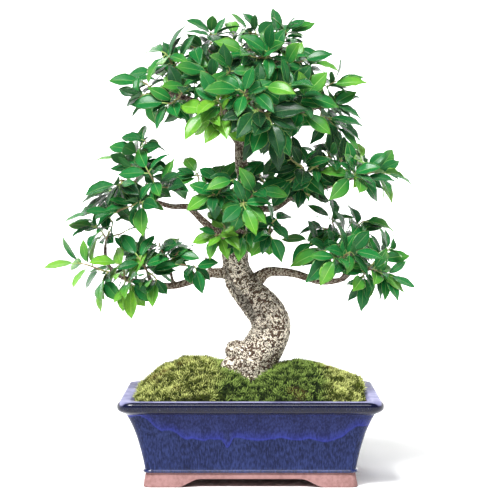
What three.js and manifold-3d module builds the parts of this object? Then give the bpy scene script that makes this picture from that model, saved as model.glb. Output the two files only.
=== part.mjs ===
// Golden gate ficus bonsai in a glazed rectangular pot. Millimetres, +Z up, the viewer at -Y.
// Origin: the middle of the whole tree's footprint, on the surface that the pot stands on.
import * as THREE from 'three';
import { mergeVertices } from 'three/addons/utils/BufferGeometryUtils.js';
import Module from 'manifold-3d';

const wasm = await Module();
wasm.setup();

// Pot
const RIM_LENGTH = 280;
const RIM_WIDTH = 215;
const POT_HEIGHT = 93;
const RIM_CORNER = 17;
const CORNER_STEPS = 3;
const FLOOR_UNDERSIDE = 9.5;
const FLOOR_TOP = 18;
const ARCH_HEIGHT = 9;
const ARCH_TOP_LENGTH = 106;
const ARCH_FOOT_LENGTH = 158;
const SIDE_ARCH_TOP = 54;
const SIDE_ARCH_FOOT = 90;
const SMALLEST_CORNER = 3;
const CORNER_TAPER = 0.32;
const DRAIN_DIAMETER = 16;
const DRAIN_SIDES = 16;
const DRAIN_SPACING = 108;
const SCREEN_SIZE = 34;
const SCREEN_THICKNESS = 1.2;
const SCREEN_OPENING = 9;
const SCREEN_BAR = 4;
const GAP = 0.3;

// Soil and moss
const SOIL_CORNER = 12;
const MOSS_THICKNESS = 9;
const MOSS_EDGE_HEIGHT = 91.5;
const MOSS_CUT = 0.5;
const MOSS_MIDDLE_LEVEL = 100;
const MOSS_EDGE_ROUNDING = 2.5;
const MOSS_LUMPS = 0.7;
const MOUND_BLEND = 4;
const MOSS_CELLS = [10, 8];
const SOIL_CELLS = [6, 4];
const GROUND_INSET = 19;

// Wood
const TRUNK_SIDES = 9;
const LIMB_SIDES = 6;
const BRANCH_SIDES = 4;
const TWIG_RADIUS = 1.3;
const TWIG_BASE_RADIUS = 2.1;
const LONG_TWIG = 16;
const CURVE_REACH = 0.36;

// Leaves
const SHOOT_RADIUS = 1.15;
const SHOOT_TAPER = 0.35;
const FORK_HEIGHT = 2.5;
const FORK_WINDOW = 3.5;
const GOLDEN_ANGLE = 137.5;
const PETIOLE_SHARE = 0.14;
const STALK_RADIUS = 0.6;
const BLADE_STATIONS = [0, 0.3, 0.65];
const KEEL_DEPTH = 1.4;
const LEAF_STEP = 7.5;
const LEAF_CLEARANCE = 0.3;
const SPROUT_HEIGHT = 2.2;
const PROBE_START = 3;
const COLLAR = 4.5;

const BARK = { color: 0x9a8a76, roughness: 0.85 };
const GLAZE = { color: 0x1f2a78, roughness: 0.2 };
const SOIL = { color: 0x3b2b20, roughness: 0.95 };
const SCREEN = { color: 0x222426, roughness: 0.6 };
const MOSS_TONES = { young: 0x7f8f3a, dark: 0x4b6a2c };
const LEAF_TONES = { young: 0x7fb84a, mid: 0x2c8a3f, dark: 0x1f5f38 };

const part = new THREE.Group();
const tree = new THREE.Group();
part.add(tree);
const vector = (x, y, z) => new THREE.Vector3(x, y, z);
const radians = THREE.MathUtils.degToRad;

// A seeded stream of numbers from 0 to 1.
function randomStream(seed) {
  let state = seed >>> 0;
  return () => {
    state = (state + 0x6d2b79f5) >>> 0;
    let mixed = Math.imul(state ^ (state >>> 15), state | 1);
    mixed ^= mixed + Math.imul(mixed ^ (mixed >>> 7), mixed | 61);
    return ((mixed ^ (mixed >>> 14)) >>> 0) / 4294967296;
  };
}

function toSolid(geometry) {
  const bare = geometry.clone();
  bare.deleteAttribute('normal');
  bare.deleteAttribute('uv');
  const merged = mergeVertices(bare, 1e-4);
  return new wasm.Manifold(new wasm.Mesh({
    numProp: 3,
    vertProperties: new Float32Array(merged.attributes.position.array),
    triVerts: new Uint32Array(merged.index.array),
  }));
}

function solidOf(points, faces) {
  const geometry = new THREE.BufferGeometry();
  geometry.setAttribute('position', new THREE.Float32BufferAttribute(points.flatMap((p) => p.toArray()), 3));
  geometry.setIndex(faces.flat());
  return toSolid(geometry);
}

// Joins rings of equally many points, in order, and closes both ends.
function loft(rings) {
  const sides = rings[0].length;
  const faces = [];
  for (let i = 0; i + 1 < rings.length; i += 1) {
    for (let j = 0; j < sides; j += 1) {
      const next = (j + 1) % sides;
      const [a, b] = [i * sides + j, i * sides + next];
      faces.push([a, b, b + sides], [a, b + sides, a + sides]);
    }
  }
  const last = (rings.length - 1) * sides;
  for (let j = 1; j + 1 < sides; j += 1) {
    faces.push([0, j + 1, j], [last, last + j, last + j + 1]);
  }
  return solidOf(rings.flat(), faces);
}

function box(size, centre) {
  const geometry = new THREE.BoxGeometry(...size);
  geometry.translate(...centre);
  return toSolid(geometry);
}

function extrudeOutline(points, depth) {
  const shape = new THREE.Shape(points.map(([x, y]) => new THREE.Vector2(x, y)));
  return new THREE.ExtrudeGeometry(shape, { depth, bevelEnabled: false });
}

function addMesh(name, solid, finish) {
  const cut = solid.getMesh();
  const geometry = new THREE.BufferGeometry();
  geometry.setAttribute('position', new THREE.Float32BufferAttribute(cut.vertProperties, 3));
  geometry.setIndex(Array.from(cut.triVerts));
  geometry.computeVertexNormals();
  const material = new THREE.MeshStandardMaterial({ metalness: 0, ...finish });
  const mesh = new THREE.Mesh(geometry, material);
  mesh.name = name;
  tree.add(mesh);
}

function tangentsOf(points) {
  return points.map((p, i) => {
    const before = points[Math.max(i - 1, 0)];
    const after = points[Math.min(i + 1, points.length - 1)];
    return after.clone().sub(before).normalize();
  });
}

// A tube of the given radius at each point, with its rings square to the route.
function tube(points, radii, sides, tangents = tangentsOf(points)) {
  const start = Math.abs(tangents[0].x) < 0.8 ? vector(1, 0, 0) : vector(0, 1, 0);
  let across = start.sub(tangents[0].clone().multiplyScalar(start.dot(tangents[0]))).normalize();
  const rings = points.map((p, i) => {
    const t = tangents[i];
    across = across.clone().sub(t.clone().multiplyScalar(across.dot(t))).normalize();
    const other = t.clone().cross(across);
    return Array.from({ length: sides }, (unused, j) => {
      const angle = (2 * Math.PI * j) / sides;
      return p.clone()
        .addScaledVector(across, radii[i] * Math.cos(angle))
        .addScaledVector(other, radii[i] * Math.sin(angle));
    });
  });
  return loft(rings);
}

function union(solids) {
  return solids.reduce((sum, solid) => sum.add(solid));
}

// The main body of a joined solid, with any hollow that the joining sealed filled in.
function mainBody(solid) {
  return solid.decompose().sort((a, b) => b.volume() - a.volume())[0];
}

// Pot: rings of a rounded rectangle, from the recess under the floor, round the outside and in again.
function potRing(inset, height, corner) {
  const halfLength = RIM_LENGTH / 2 - inset;
  const halfWidth = RIM_WIDTH / 2 - inset;
  const radius = Math.max(corner, SMALLEST_CORNER);
  const ring = [];
  [[1, 1, 0], [-1, 1, 90], [-1, -1, 180], [1, -1, 270]].forEach(([sx, sy, turn]) => {
    for (let i = 0; i <= CORNER_STEPS; i += 1) {
      const angle = radians(turn + (90 * i) / CORNER_STEPS);
      ring.push(vector(
        sx * (halfLength - radius) + radius * Math.cos(angle),
        sy * (halfWidth - radius) + radius * Math.sin(angle),
        height,
      ));
    }
  });
  return ring;
}

// Each row: how far inside the rim's outline, and the height above the table.
const FOOT_PROFILE = [
  [40, FLOOR_UNDERSIDE], [39, 0], [27.6, 0], [26.6, 1.2], [27.4, 5], [28.8, 13.5], [29.4, 15],
];
const WALL_PROFILE = [
  [27, 15.8], [26.4, 17.4], [27.4, 19], [28, 21], [24.4, 38], [18.7, 58], [13.2, 71], [10.6, 76],
];
const LIP_PROFILE = [[9.2, 78.6], [4.8, 80.8], [1.2, 83.4], [0, 87.2], [0.7, 90.8], [3, 92.6], [6, POT_HEIGHT]];
const INNER_PROFILE = [
  [12.6, POT_HEIGHT], [14.4, 92], [18.5, 88], [19.5, 79], [28, 50], [34, 24], [39, FLOOR_TOP],
];

function innerInsetAt(height) {
  const rows = INNER_PROFILE.slice().reverse();
  const upper = rows.findIndex(([, level]) => level >= height);
  const [insetA, levelA] = rows[upper - 1];
  const [insetB, levelB] = rows[upper];
  return insetA + ((insetB - insetA) * (height - levelA)) / (levelB - levelA);
}

// An arch between two feet, cut right through the foot ring along one way.
function footArch(topLength, footLength, reach, alongX) {
  const [top, foot] = [topLength / 2, footLength / 2];
  const middle = (top + foot) / 2;
  const half = [[foot, -1], [foot - 1, 0.8], [middle, ARCH_HEIGHT * 0.55], [top, ARCH_HEIGHT]];
  const mirrored = half.slice().reverse().map(([x, z]) => [-x, z]);
  const geometry = extrudeOutline([...half, ...mirrored], 2 * reach);
  geometry.rotateX(Math.PI / 2);
  geometry.translate(0, reach, 0);
  if (alongX) {
    geometry.rotateZ(Math.PI / 2);
  }
  return toSolid(geometry);
}

function buildPot() {
  const profile = [...FOOT_PROFILE, ...WALL_PROFILE, ...LIP_PROFILE, ...INNER_PROFILE];
  const rings = profile.map(([inset, height]) => potRing(inset, height, RIM_CORNER - inset * CORNER_TAPER));
  let pot = loft(rings);
  pot = pot.subtract(footArch(ARCH_TOP_LENGTH, ARCH_FOOT_LENGTH, RIM_WIDTH / 2, false));
  pot = pot.subtract(footArch(SIDE_ARCH_TOP, SIDE_ARCH_FOOT, RIM_LENGTH / 2, true));
  [-1, 1].forEach((side) => {
    const radius = DRAIN_DIAMETER / 2;
    const hole = new THREE.CylinderGeometry(radius, radius, 2 * FLOOR_TOP, DRAIN_SIDES);
    hole.rotateX(Math.PI / 2);
    hole.translate((side * DRAIN_SPACING) / 2, 0, FLOOR_TOP);
    pot = pot.subtract(toSolid(hole));
  });
  addMesh('pot', pot, GLAZE);
}

function buildScreens() {
  const fromMiddle = (SCREEN_OPENING + SCREEN_BAR) / 2;
  [['left', -1], ['right', 1]].forEach(([word, side]) => {
    const x = (side * DRAIN_SPACING) / 2;
    const z = FLOOR_TOP + GAP + SCREEN_THICKNESS / 2;
    let screen = box([SCREEN_SIZE, SCREEN_SIZE, SCREEN_THICKNESS], [x, 0, z]);
    [[-1, -1], [-1, 1], [1, -1], [1, 1]].forEach(([i, j]) => {
      const centre = [x + i * fromMiddle, j * fromMiddle, z];
      screen = screen.subtract(box([SCREEN_OPENING, SCREEN_OPENING, 2 * SCREEN_THICKNESS], centre));
    });
    addMesh(`drainage_screen_${word}`, screen, SCREEN);
  });
}

// Ground: mounds of moss, [x, y, top, fall along x, fall along y].
const MOUNDS = [
  [-57, 2, 128.5, 0.0068, 0.0039],
  [50, 2, 125.5, 0.0095, 0.0036],
  [98, 6, 113, 0.012, 0.003],
];

function mossTop(x, y) {
  const levels = MOUNDS.map(([cx, cy, top, fallX, fallY]) => (
    top - fallX * (x - cx) ** 2 - fallY * (y - cy) ** 2
  ));
  levels.push(MOSS_EDGE_HEIGHT);
  const sum = levels.reduce((total, level) => total + Math.exp((level - MOSS_MIDDLE_LEVEL) / MOUND_BLEND), 0);
  const edgeX = RIM_LENGTH / 2 - GROUND_INSET - Math.abs(x);
  const edgeY = RIM_WIDTH / 2 - GROUND_INSET - Math.abs(y);
  const rounding = MOSS_EDGE_ROUNDING * Math.exp(-Math.max(Math.min(edgeX, edgeY), 0) / MOUND_BLEND);
  const lumps = MOSS_LUMPS * Math.sin(x * 0.21 + 1.3 * Math.sin(y * 0.17)) * Math.cos(y * 0.19 + 0.6);
  return MOSS_MIDDLE_LEVEL + MOUND_BLEND * Math.log(sum) - rounding + lumps;
}

// A block from the table up to a height formula, over the pot's opening.
function groundBlock(level, [cellsX, cellsY]) {
  const [length, width] = [RIM_LENGTH - 2 * GROUND_INSET, RIM_WIDTH - 2 * GROUND_INSET];
  const geometry = new THREE.BoxGeometry(length, width, 2, cellsX, cellsY, 1);
  const places = geometry.attributes.position;
  for (let i = 0; i < places.count; i += 1) {
    places.setZ(i, places.getZ(i) > 0 ? level(places.getX(i), places.getY(i)) : 0);
  }
  return toSolid(geometry);
}

// The room inside the pot, a gap clear of its wall, up to the moss's reach.
function potRoom(top) {
  const levels = [FLOOR_TOP + GAP, 24, 50, 79, 88];
  const rings = levels.map((z) => potRing(innerInsetAt(z) + GAP, z, SOIL_CORNER));
  rings.push(potRing(innerInsetAt(88) + GAP, top, SOIL_CORNER));
  return loft(rings);
}

// Lines where one cushion of moss meets the next.
const MOSS_SEAMS = [
  [[-12, -110], [-15, -80], [-9, -58], [-14, -36], [-8, -18], [-6, 4]],
  [[-130, 36], [-96, 30], [-70, 40], [-44, 26], [-24, 16], [-4, 8]],
  [[8, 4], [24, 18], [40, 30], [60, 26], [78, 36], [104, 30], [130, 38]],
  [[66, -110], [70, -76], [62, -48], [71, -20], [66, 6], [70, 31]],
  [[4, 10], [8, 36], [2, 62], [7, 84], [4, 110]],
];

function seamWall(line) {
  const [bottom, top] = [60, 160];
  const walls = line.slice(1).map(([x, y], i) => {
    const [fromX, fromY] = line[i];
    const length = Math.hypot(x - fromX, y - fromY) + MOSS_CUT;
    const geometry = new THREE.BoxGeometry(length, MOSS_CUT, top - bottom);
    geometry.rotateZ(Math.atan2(y - fromY, x - fromX));
    geometry.translate((x + fromX) / 2, (y + fromY) / 2, (top + bottom) / 2);
    return toSolid(geometry);
  });
  return union(walls);
}

const MOSS_PADS = [
  ['moss_front_left', -70, -30, MOSS_TONES.young],
  ['moss_front_middle', 30, -50, MOSS_TONES.dark],
  ['moss_right', 98, -30, MOSS_TONES.young],
  ['moss_back_left', -60, 65, MOSS_TONES.dark],
  ['moss_back_right', 60, 65, MOSS_TONES.dark],
];

function buildGround(foot) {
  const room = potRoom(150);
  const mossBottom = (x, y) => mossTop(x, y) - MOSS_THICKNESS;
  let soil = groundBlock((x, y) => mossBottom(x, y) - GAP, SOIL_CELLS).intersect(room).subtract(foot);
  const recess = SCREEN_SIZE + 2 * GAP;
  [-1, 1].forEach((side) => {
    const centre = [(side * DRAIN_SPACING) / 2, 0, FLOOR_TOP + GAP];
    soil = soil.subtract(box([recess, recess, 2 * (SCREEN_THICKNESS + GAP)], centre));
  });
  addMesh('soil', soil, SOIL);

  let moss = groundBlock(mossTop, MOSS_CELLS).subtract(groundBlock(mossBottom, SOIL_CELLS));
  moss = moss.intersect(room).subtract(foot);
  MOSS_SEAMS.forEach((line) => {
    moss = moss.subtract(seamWall(line));
  });
  const pads = moss.decompose();
  MOSS_PADS.forEach(([name, x, y, color]) => {
    const distance = (pad) => {
      const { min, max } = pad.boundingBox();
      return Math.hypot((min[0] + max[0]) / 2 - x, (min[1] + max[1]) / 2 - y);
    };
    pads.sort((a, b) => distance(a) - distance(b));
    addMesh(name, pads.shift(), { color, roughness: 0.95 });
  });
}

// Wood: each branch is a list of [x, y, z, radius], from its parent outwards.
const TRUNK = [
  [-7, 0, 68, 21], [-7, 0, 92, 22.5], [-3, 0, 112, 23.5], [5, 0, 129, 22.8], [16, 0, 145, 21.8],
  [22.5, 0, 161, 21.4], [19, 0, 176, 20.8], [9, 0, 190, 19.4], [-2.5, 0, 203, 17.8], [-11.5, 0, 217, 16],
  [-16, 0, 233, 14.8], [-16.5, 0, 249, 14], [-13.5, 0, 264, 12.4], [-7, 0, 280, 10], [-3, 0, 297, 8.4],
  [-6, 0, 315, 7.6], [-10, 0, 335, 7], [-11, 0, 356, 6.6], [-10.5, 0, 375, 6.2], [-8, 0, 394, 5.4],
  [-7, 0, 412, 4.4], [-6, 0, 434, 3.4], [-4, -2, 456, 2.4],
];
const STUMP = [
  [8, -2, 132, 15], [-10, -5, 136, 12.5], [-20, -6, 139, 10.6], [-25, -6, 141, 7], [-26.5, -6, 141.6, 3.5],
];
const ROOTS = [
  [[0, -3, 128, 17], [-18, -8, 118, 15], [-34, -12, 105, 10], [-46, -16, 92, 6]],
  [[8, 4, 126, 17], [24, 12, 114, 13], [38, 20, 100, 9], [48, 26, 88, 6]],
];
const BRANCHES = {
  left_low: [
    [-9, 0, 221, 8], [-31, -1, 222, 6.3], [-44, -3, 222, 5.2], [-59, -8, 216, 4.5], [-85, -12, 209, 3.8],
    [-109, -14, 212, 3.3], [-133, -12, 216, 2.8], [-150, -8, 225, 2.4], [-157, -6, 238, 2.2],
    [-158, -4, 250, 2],
  ],
  left_high: [
    [-11, 0, 262, 7.5], [-29, -6, 263, 5.5], [-41, -10, 270, 4.6], [-51, -14, 279, 4], [-61, -16, 289, 3.6],
    [-69, -18, 295, 3.4], [-84, -20, 295, 3], [-99, -20, 299, 2.7], [-113, -20, 303, 2.4],
    [-125, -18, 310, 2], [-135, -14, 320, 1.7],
  ],
  right_low: [
    [-2, 0, 207, 10.5], [10, -2, 217, 7.4], [19, -4, 223, 5.8], [32, -8, 224, 4.8], [48, -12, 222, 4.4],
    [64, -15, 217, 4.1], [75, -17, 214, 3.8], [89, -18, 214, 3.2], [102, -18, 218, 2.7], [110, -16, 228, 2.3],
    [109, -14, 239, 2], [106, -12, 250, 1.7],
  ],
  right_high: [
    [-8, 0, 270, 7], [3, -8, 286, 4.8], [12, -14, 292, 4], [23, -18, 292, 3.6], [33, -20, 297, 3.3],
    [43, -22, 304, 3], [57, -24, 309, 2.8], [75, -24, 314, 2.6], [91, -24, 319, 2.3], [107, -22, 325, 2],
    [123, -20, 327, 1.6],
  ],
  front_left_stem: [[-15, -2, 256, 7], [-21, -26, 278, 4], [-26, -44, 295, 3], [-28, -56, 308, 2.2]],
  front_stem: [[-12, -2, 260, 7], [-13, -34, 285, 3.5], [-15, -54, 301, 2.6], [-16, -66, 314, 2]],
  front_right_stem: [[-10, -2, 250, 6], [6, -26, 259, 3.2], [17, -42, 263, 2.4], [23, -52, 271, 2]],
  front_low_stem: [[-16, -2, 246, 6], [-24, -32, 256, 3], [-30, -46, 260, 2.2]],
  back_stem: [[-4, 1, 286, 7], [-13, 36, 293, 3.2], [-24, 66, 295, 2.4]],
  back_high_stem: [[-5, 1, 308, 6.5], [11, 36, 313, 3.2], [22, 68, 310, 2.4]],
  back_low_stem: [[-12, 2, 256, 8], [-12, 40, 260, 3.2], [-14, 64, 264, 2.4]],
  crown_left: [
    [-10.5, 0, 376, 5.4], [-28, -15, 391, 4], [-49, -25, 403, 3.3], [-71, -28, 412, 2.8], [-92, -22, 416, 2.2],
  ],
  crown_left_high: [
    [-8.5, 0, 391, 4.8], [-27, 5, 410, 3.6], [-46, 10, 428, 3], [-64, 12, 441, 2.4], [-77, 10, 451, 1.9],
  ],
  crown_top_left: [[-7, 0, 400, 4.6], [-17, -2, 421, 3.4], [-27, -5, 443, 2.8], [-34, -6, 458, 2.1]],
  crown_top_right: [[-7.5, 0, 397, 4.8], [6, 2, 419, 3.4], [19, 5, 439, 2.7], [31, 6, 456, 2.1]],
  crown_right_high: [[-9, 0, 384, 5], [13, -5, 401, 3.8], [36, -8, 417, 3], [57, -8, 430, 2.3]],
  crown_right: [
    [-10, 0, 372, 5.6], [12, -12, 384, 4], [37, -20, 393, 3.2], [62, -22, 399, 2.5], [77, -20, 403, 2],
  ],
  crown_front: [[-10, 0, 368, 5.8], [-8, -34, 378, 3.6], [-5, -64, 388, 2.8]],
  crown_front_left: [[-10, 0, 363, 5.8], [-24, -38, 377, 3.4], [-39, -60, 388, 2.6]],
  crown_front_right: [[-9.5, 0, 374, 5.6], [10, -38, 389, 3.3], [27, -60, 401, 2.5]],
  crown_back: [[-10, 0, 374, 5.6], [-9, 40, 395, 3.6], [-12, 74, 411, 2.7]],
  crown_back_left: [[-9, 0, 382, 5], [-32, 36, 400, 3.2], [-54, 64, 413, 2.4]],
  crown_back_right: [[-8, 0, 386, 5], [15, 36, 403, 3.2], [37, 62, 417, 2.4]],
};

// Sprays: [name, branch it grows from, tone, end of its woody twig, green shoots]. Each shoot is
// [x, y, z of its tip, azimuth and elevation there in degrees, leaves, leaf length].
const SPRAYS = [
  ['crown_far_left', 'crown_left', 'mid', [-100, -20, 417], [
    [-116, -14, 429, 178, 15, 5, 36],
    [-119, -28, 413, 183, -14, 4, 34],
  ]],
  ['crown_left_front', 'crown_left', 'mid', [-76, -38, 410], [
    [-88, -50, 405, 186, 16, 5, 38],
    [-69, -52, 426, 190, 25, 5, 32],
  ]],
  ['crown_left_high', 'crown_left_high', 'mid', [-75, 12, 445], [
    [-82, 2, 445, 150, 35, 5, 34],
    [-100, 24, 433, 170, 15, 5, 34],
    [-102, 30, 413, 175, 0, 4, 34],
  ]],
  ['crown_top_left', 'crown_top_left', 'mid', [-46, 4, 465], [
    [-40, 6, 478, 170, 30, 5, 34],
    [-60, 14, 465, 175, 20, 5, 32],
  ]],
  ['crown_top', 'trunk', 'mid', [-3, 4, 460], [
    [-18, 0, 478, 100, 72, 5, 34],
    [6, 0, 482, 120, 65, 5, 34],
    [-9, 42, 471, 110, 60, 5, 34],
    [17, 40, 468, 60, 50, 5, 34],
  ]],
  ['crown_top_right', 'crown_top_right', 'mid', [32, 5, 463], [
    [28, 4, 480, 85, 78, 4, 32],
    [40, 0, 482, 10, 35, 5, 34],
    [50, -8, 465, 5, 8, 4, 32],
  ]],
  ['crown_right_high', 'crown_right_high', 'mid', [60, -8, 434], [
    [66, -10, 449, 355, 8, 4, 34],
    [86, -14, 425, 352, 20, 5, 38],
    [85, -4, 408, 10, 42, 5, 36],
  ]],
  ['crown_right_low', 'crown_right', 'mid', [75, -22, 399], [
    [86, -22, 389, 345, -10, 5, 38],
    [77, -32, 384, 325, -48, 5, 36],
  ]],
  ['crown_front_low', 'crown_front', 'dark', [12, -80, 394], [
    [20, -95, 386, 300, -38, 6, 42],
    [6, -98, 396, 240, -20, 4, 40],
  ]],
  ['crown_front_left', 'crown_front_left', 'young', [-30, -74, 390], [
    [-26, -90, 384, 255, -50, 5, 34],
    [-45, -84, 396, 212, -32, 6, 38],
    [-36, -92, 407, 230, -5, 4, 34],
  ]],
  ['crown_front_middle', 'crown_front', 'mid', [-7, -76, 405], [
    [-11, -94, 417, 205, 18, 5, 38],
    [14, -86, 421, 330, 15, 5, 36],
  ]],
  ['crown_front_high_left', 'crown_top_left', 'mid', [-39, -48, 426], [
    [-47, -68, 437, 215, 25, 5, 34],
    [-22, -72, 441, 250, 40, 5, 34],
  ]],
  ['crown_front_high', 'crown_top_right', 'mid', [17, -36, 450], [
    [19, -56, 460, 270, 50, 5, 34],
    [-5, -56, 458, 200, 45, 5, 34],
    [38, -60, 445, 290, 35, 5, 34],
    [55, -44, 450, 345, 30, 4, 32],
  ]],
  ['crown_front_right', 'crown_front_right', 'mid', [40, -54, 411], [
    [40, -74, 424, 310, 25, 5, 34],
    [59, -60, 411, 345, 5, 5, 34],
    [54, -70, 394, 330, -25, 5, 36],
  ]],
  ['crown_back_left', 'crown_back_left', 'dark', [-59, 68, 420], [
    [-73, 78, 425, 170, 20, 5, 36],
    [-50, 84, 441, 130, 40, 5, 36],
    [-66, 82, 405, 200, -10, 4, 36],
  ]],
  ['crown_back', 'crown_back', 'dark', [-12, 80, 420], [
    [-21, 86, 439, 110, 50, 5, 36],
    [2, 100, 430, 80, 20, 5, 36],
    [-14, 104, 407, 100, -20, 4, 36],
  ]],
  ['crown_back_right', 'crown_back_right', 'dark', [44, 66, 422], [
    [58, 70, 429, 20, 30, 5, 36],
    [36, 84, 441, 70, 45, 5, 36],
    [51, 82, 407, 40, -10, 4, 36],
  ]],
  ['left_high_tip', 'left_high', 'dark', [-137, -18, 323], [
    [-141, -28, 319, 178, 8, 4, 38],
    [-148, -10, 312, 192, -22, 5, 42],
  ]],
  ['left_high_top', 'left_high', 'mid', [-122, -10, 328], [
    [-124, -8, 354, 165, 30, 6, 34],
    [-140, 4, 347, 165, 20, 5, 32],
  ]],
  ['left_high_middle', 'left_high', 'mid', [-102, -26, 313], [
    [-110, -36, 334, 130, 45, 5, 34],
    [-84, -38, 319, 60, 62, 5, 40],
  ]],
  ['left_high_low', 'left_high', 'mid', [-121, -30, 299], [
    [-115, -44, 298, 260, -60, 5, 34],
    [-138, -30, 293, 182, -4, 6, 34],
  ]],
  ['left_high_back', 'left_high', 'dark', [-115, 14, 316], [
    [-113, 30, 336, 150, 30, 5, 34],
    [-131, 32, 305, 190, 0, 5, 34],
  ]],
  ['left_inner', 'left_high', 'mid', [-54, -32, 311], [
    [-57, -38, 330, 150, 50, 5, 30],
    [-45, -46, 324, 60, 50, 5, 32],
  ]],
  ['left_low_top', 'left_low', 'mid', [-157, -6, 257], [
    [-168, -8, 273, 160, 25, 6, 32],
    [-150, -18, 280, 130, 50, 5, 30],
    [-136, -8, 268, 20, 40, 5, 28],
  ]],
  ['left_low_far', 'left_low', 'young', [-152, -20, 224], [
    [-186, -24, 234, 178, 2, 5, 36],
    [-158, -36, 216, 250, -65, 4, 34],
  ]],
  ['left_low_front', 'left_low', 'young', [-134, -30, 216], [
    [-127, -46, 211, 275, -62, 5, 34],
    [-140, -40, 234, 195, 25, 4, 32],
  ]],
  ['left_low_middle', 'left_low', 'mid', [-110, -28, 224], [
    [-120, -42, 242, 140, 50, 5, 34],
    [-101, -44, 215, 240, -45, 4, 28],
  ]],
  ['left_low_high', 'left_low', 'mid', [-87, -16, 232], [
    [-96, -22, 248, 120, 50, 6, 32],
    [-78, -32, 246, 60, 40, 5, 30],
  ]],
  ['left_low_inner', 'left_low', 'mid', [-65, -26, 229], [
    [-76, -40, 234, 200, 10, 5, 28],
    [-59, -40, 230, 300, -50, 5, 28],
  ]],
  ['left_low_back', 'left_low', 'dark', [-115, 20, 226], [
    [-122, 38, 238, 160, 30, 5, 34],
    [-91, 36, 236, 60, 30, 5, 32],
    [-146, 34, 225, 175, 5, 5, 34],
  ]],
  ['centre_high', 'front_stem', 'mid', [-16, -70, 318], [
    [-17, -82, 325, 265, 45, 7, 32],
    [-4, -74, 324, 30, 55, 5, 32],
  ]],
  ['centre_left', 'front_left_stem', 'mid', [-30, -60, 311], [
    [-32, -70, 322, 150, 45, 5, 30],
    [-41, -76, 308, 205, 0, 5, 30],
  ]],
  ['centre_right', 'front_stem', 'mid', [-5, -58, 299], [
    [7, -76, 312, 340, 15, 5, 32],
    [-7, -84, 297, 290, -45, 6, 34],
  ]],
  ['centre_low_right', 'front_right_stem', 'mid', [21, -54, 273], [
    [25, -62, 281, 45, 35, 4, 32],
    [21, -66, 265, 330, -45, 4, 30],
  ]],
  ['centre_low', 'front_right_stem', 'mid', [-1, -46, 264], [
    [-7, -64, 267, 260, -55, 5, 30],
    [7, -68, 280, 20, 15, 5, 30],
  ]],
  ['centre_low_left', 'front_low_stem', 'young', [-30, -50, 263], [
    [-37, -64, 265, 215, -25, 5, 30],
    [-28, -64, 276, 150, 55, 4, 30],
  ]],
  ['right_high_tip', 'right_high', 'young', [125, -18, 329], [
    [146, -12, 331, 5, 2, 6, 36],
    [120, -26, 345, 95, 72, 5, 32],
  ]],
  ['right_high_front', 'right_high', 'mid', [109, -36, 328], [
    [120, -48, 326, 345, -15, 4, 36],
    [106, -54, 328, 215, -30, 5, 34],
  ]],
  ['right_high_middle', 'right_high', 'dark', [92, -30, 336], [
    [98, -40, 345, 40, 35, 6, 34],
    [83, -37, 352, 130, 45, 6, 32],
  ]],
  ['right_high_inner', 'right_high', 'dark', [57, -34, 326], [
    [53, -50, 339, 160, 30, 6, 38],
    [72, -50, 339, 30, 15, 5, 34],
    [42, -58, 324, 215, -10, 5, 36],
    [54, -48, 311, 285, -62, 4, 32],
  ]],
  ['right_high_back', 'right_high', 'dark', [90, 20, 331], [
    [79, 38, 347, 130, 40, 5, 34],
    [106, 40, 340, 40, 30, 5, 34],
    [132, 30, 333, 20, 10, 5, 34],
  ]],
  ['right_low_tip', 'right_low', 'mid', [124, -32, 227], [
    [137, -36, 238, 12, 22, 7, 34],
    [136, -46, 226, 342, -20, 6, 34],
    [119, -46, 217, 285, -60, 4, 32],
  ]],
  ['right_low_top', 'right_low', 'mid', [108, -12, 255], [
    [113, -16, 267, 15, 35, 6, 38],
    [97, -24, 267, 120, 55, 5, 32],
  ]],
  ['right_low_top_left', 'right_low', 'mid', [93, -4, 269], [
    [89, -6, 284, 75, 55, 5, 30],
    [78, -10, 271, 160, 22, 5, 30],
  ]],
  ['right_low_left', 'right_low', 'mid', [86, -30, 238], [
    [81, -46, 249, 186, 0, 6, 42],
    [64, -28, 259, 172, 12, 5, 32],
  ]],
  ['right_low_front', 'right_low', 'mid', [98, -42, 236], [
    [89, -62, 241, 235, -30, 5, 32],
    [108, -60, 248, 345, 8, 5, 32],
  ]],
  ['right_low_back', 'right_low', 'dark', [105, 18, 244], [
    [95, 38, 254, 130, 25, 5, 34],
    [121, 34, 247, 40, 20, 5, 34],
    [125, 30, 230, 25, -12, 5, 32],
  ]],
  ['back_centre_high', 'back_high_stem', 'dark', [23, 72, 313], [
    [15, 86, 319, 90, 30, 5, 34],
    [36, 84, 310, 30, 5, 5, 34],
  ]],
  ['back_centre', 'back_stem', 'dark', [-25, 70, 297], [
    [-34, 82, 308, 140, 30, 5, 34],
    [-21, 92, 289, 95, 0, 5, 34],
  ]],
  ['back_centre_low', 'back_low_stem', 'dark', [-14, 68, 266], [
    [-25, 82, 267, 140, 0, 5, 34],
    [2, 84, 269, 60, 10, 5, 34],
  ]],
];

function branchPoints(name) {
  const rows = name === 'trunk' ? TRUNK.slice(-6) : BRANCHES[name];
  return rows.map(([x, y, z]) => vector(x, y, z));
}

// The place on a branch where a twig leaves it: nearest to the twig's end, then back towards the trunk.
function twigRoot(points, end) {
  const lengths = [0];
  for (let i = 1; i < points.length; i += 1) {
    lengths.push(lengths[i - 1] + points[i].distanceTo(points[i - 1]));
  }
  let best = { distance: Infinity, along: 0 };
  const samples = 60;
  const total = lengths[lengths.length - 1];
  for (let k = 0; k <= samples; k += 1) {
    const along = (total * k) / samples;
    const distance = pointAlong(points, lengths, along).distanceTo(end);
    if (distance < best.distance) {
      best = { distance, along };
    }
  }
  const along = Math.max(best.along - 0.45 * best.distance, 0.12 * total);
  const ahead = pointAlong(points, lengths, Math.min(along + 2, total));
  const behind = pointAlong(points, lengths, along - 2);
  return { point: pointAlong(points, lengths, along), heading: ahead.sub(behind).normalize() };
}

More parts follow.
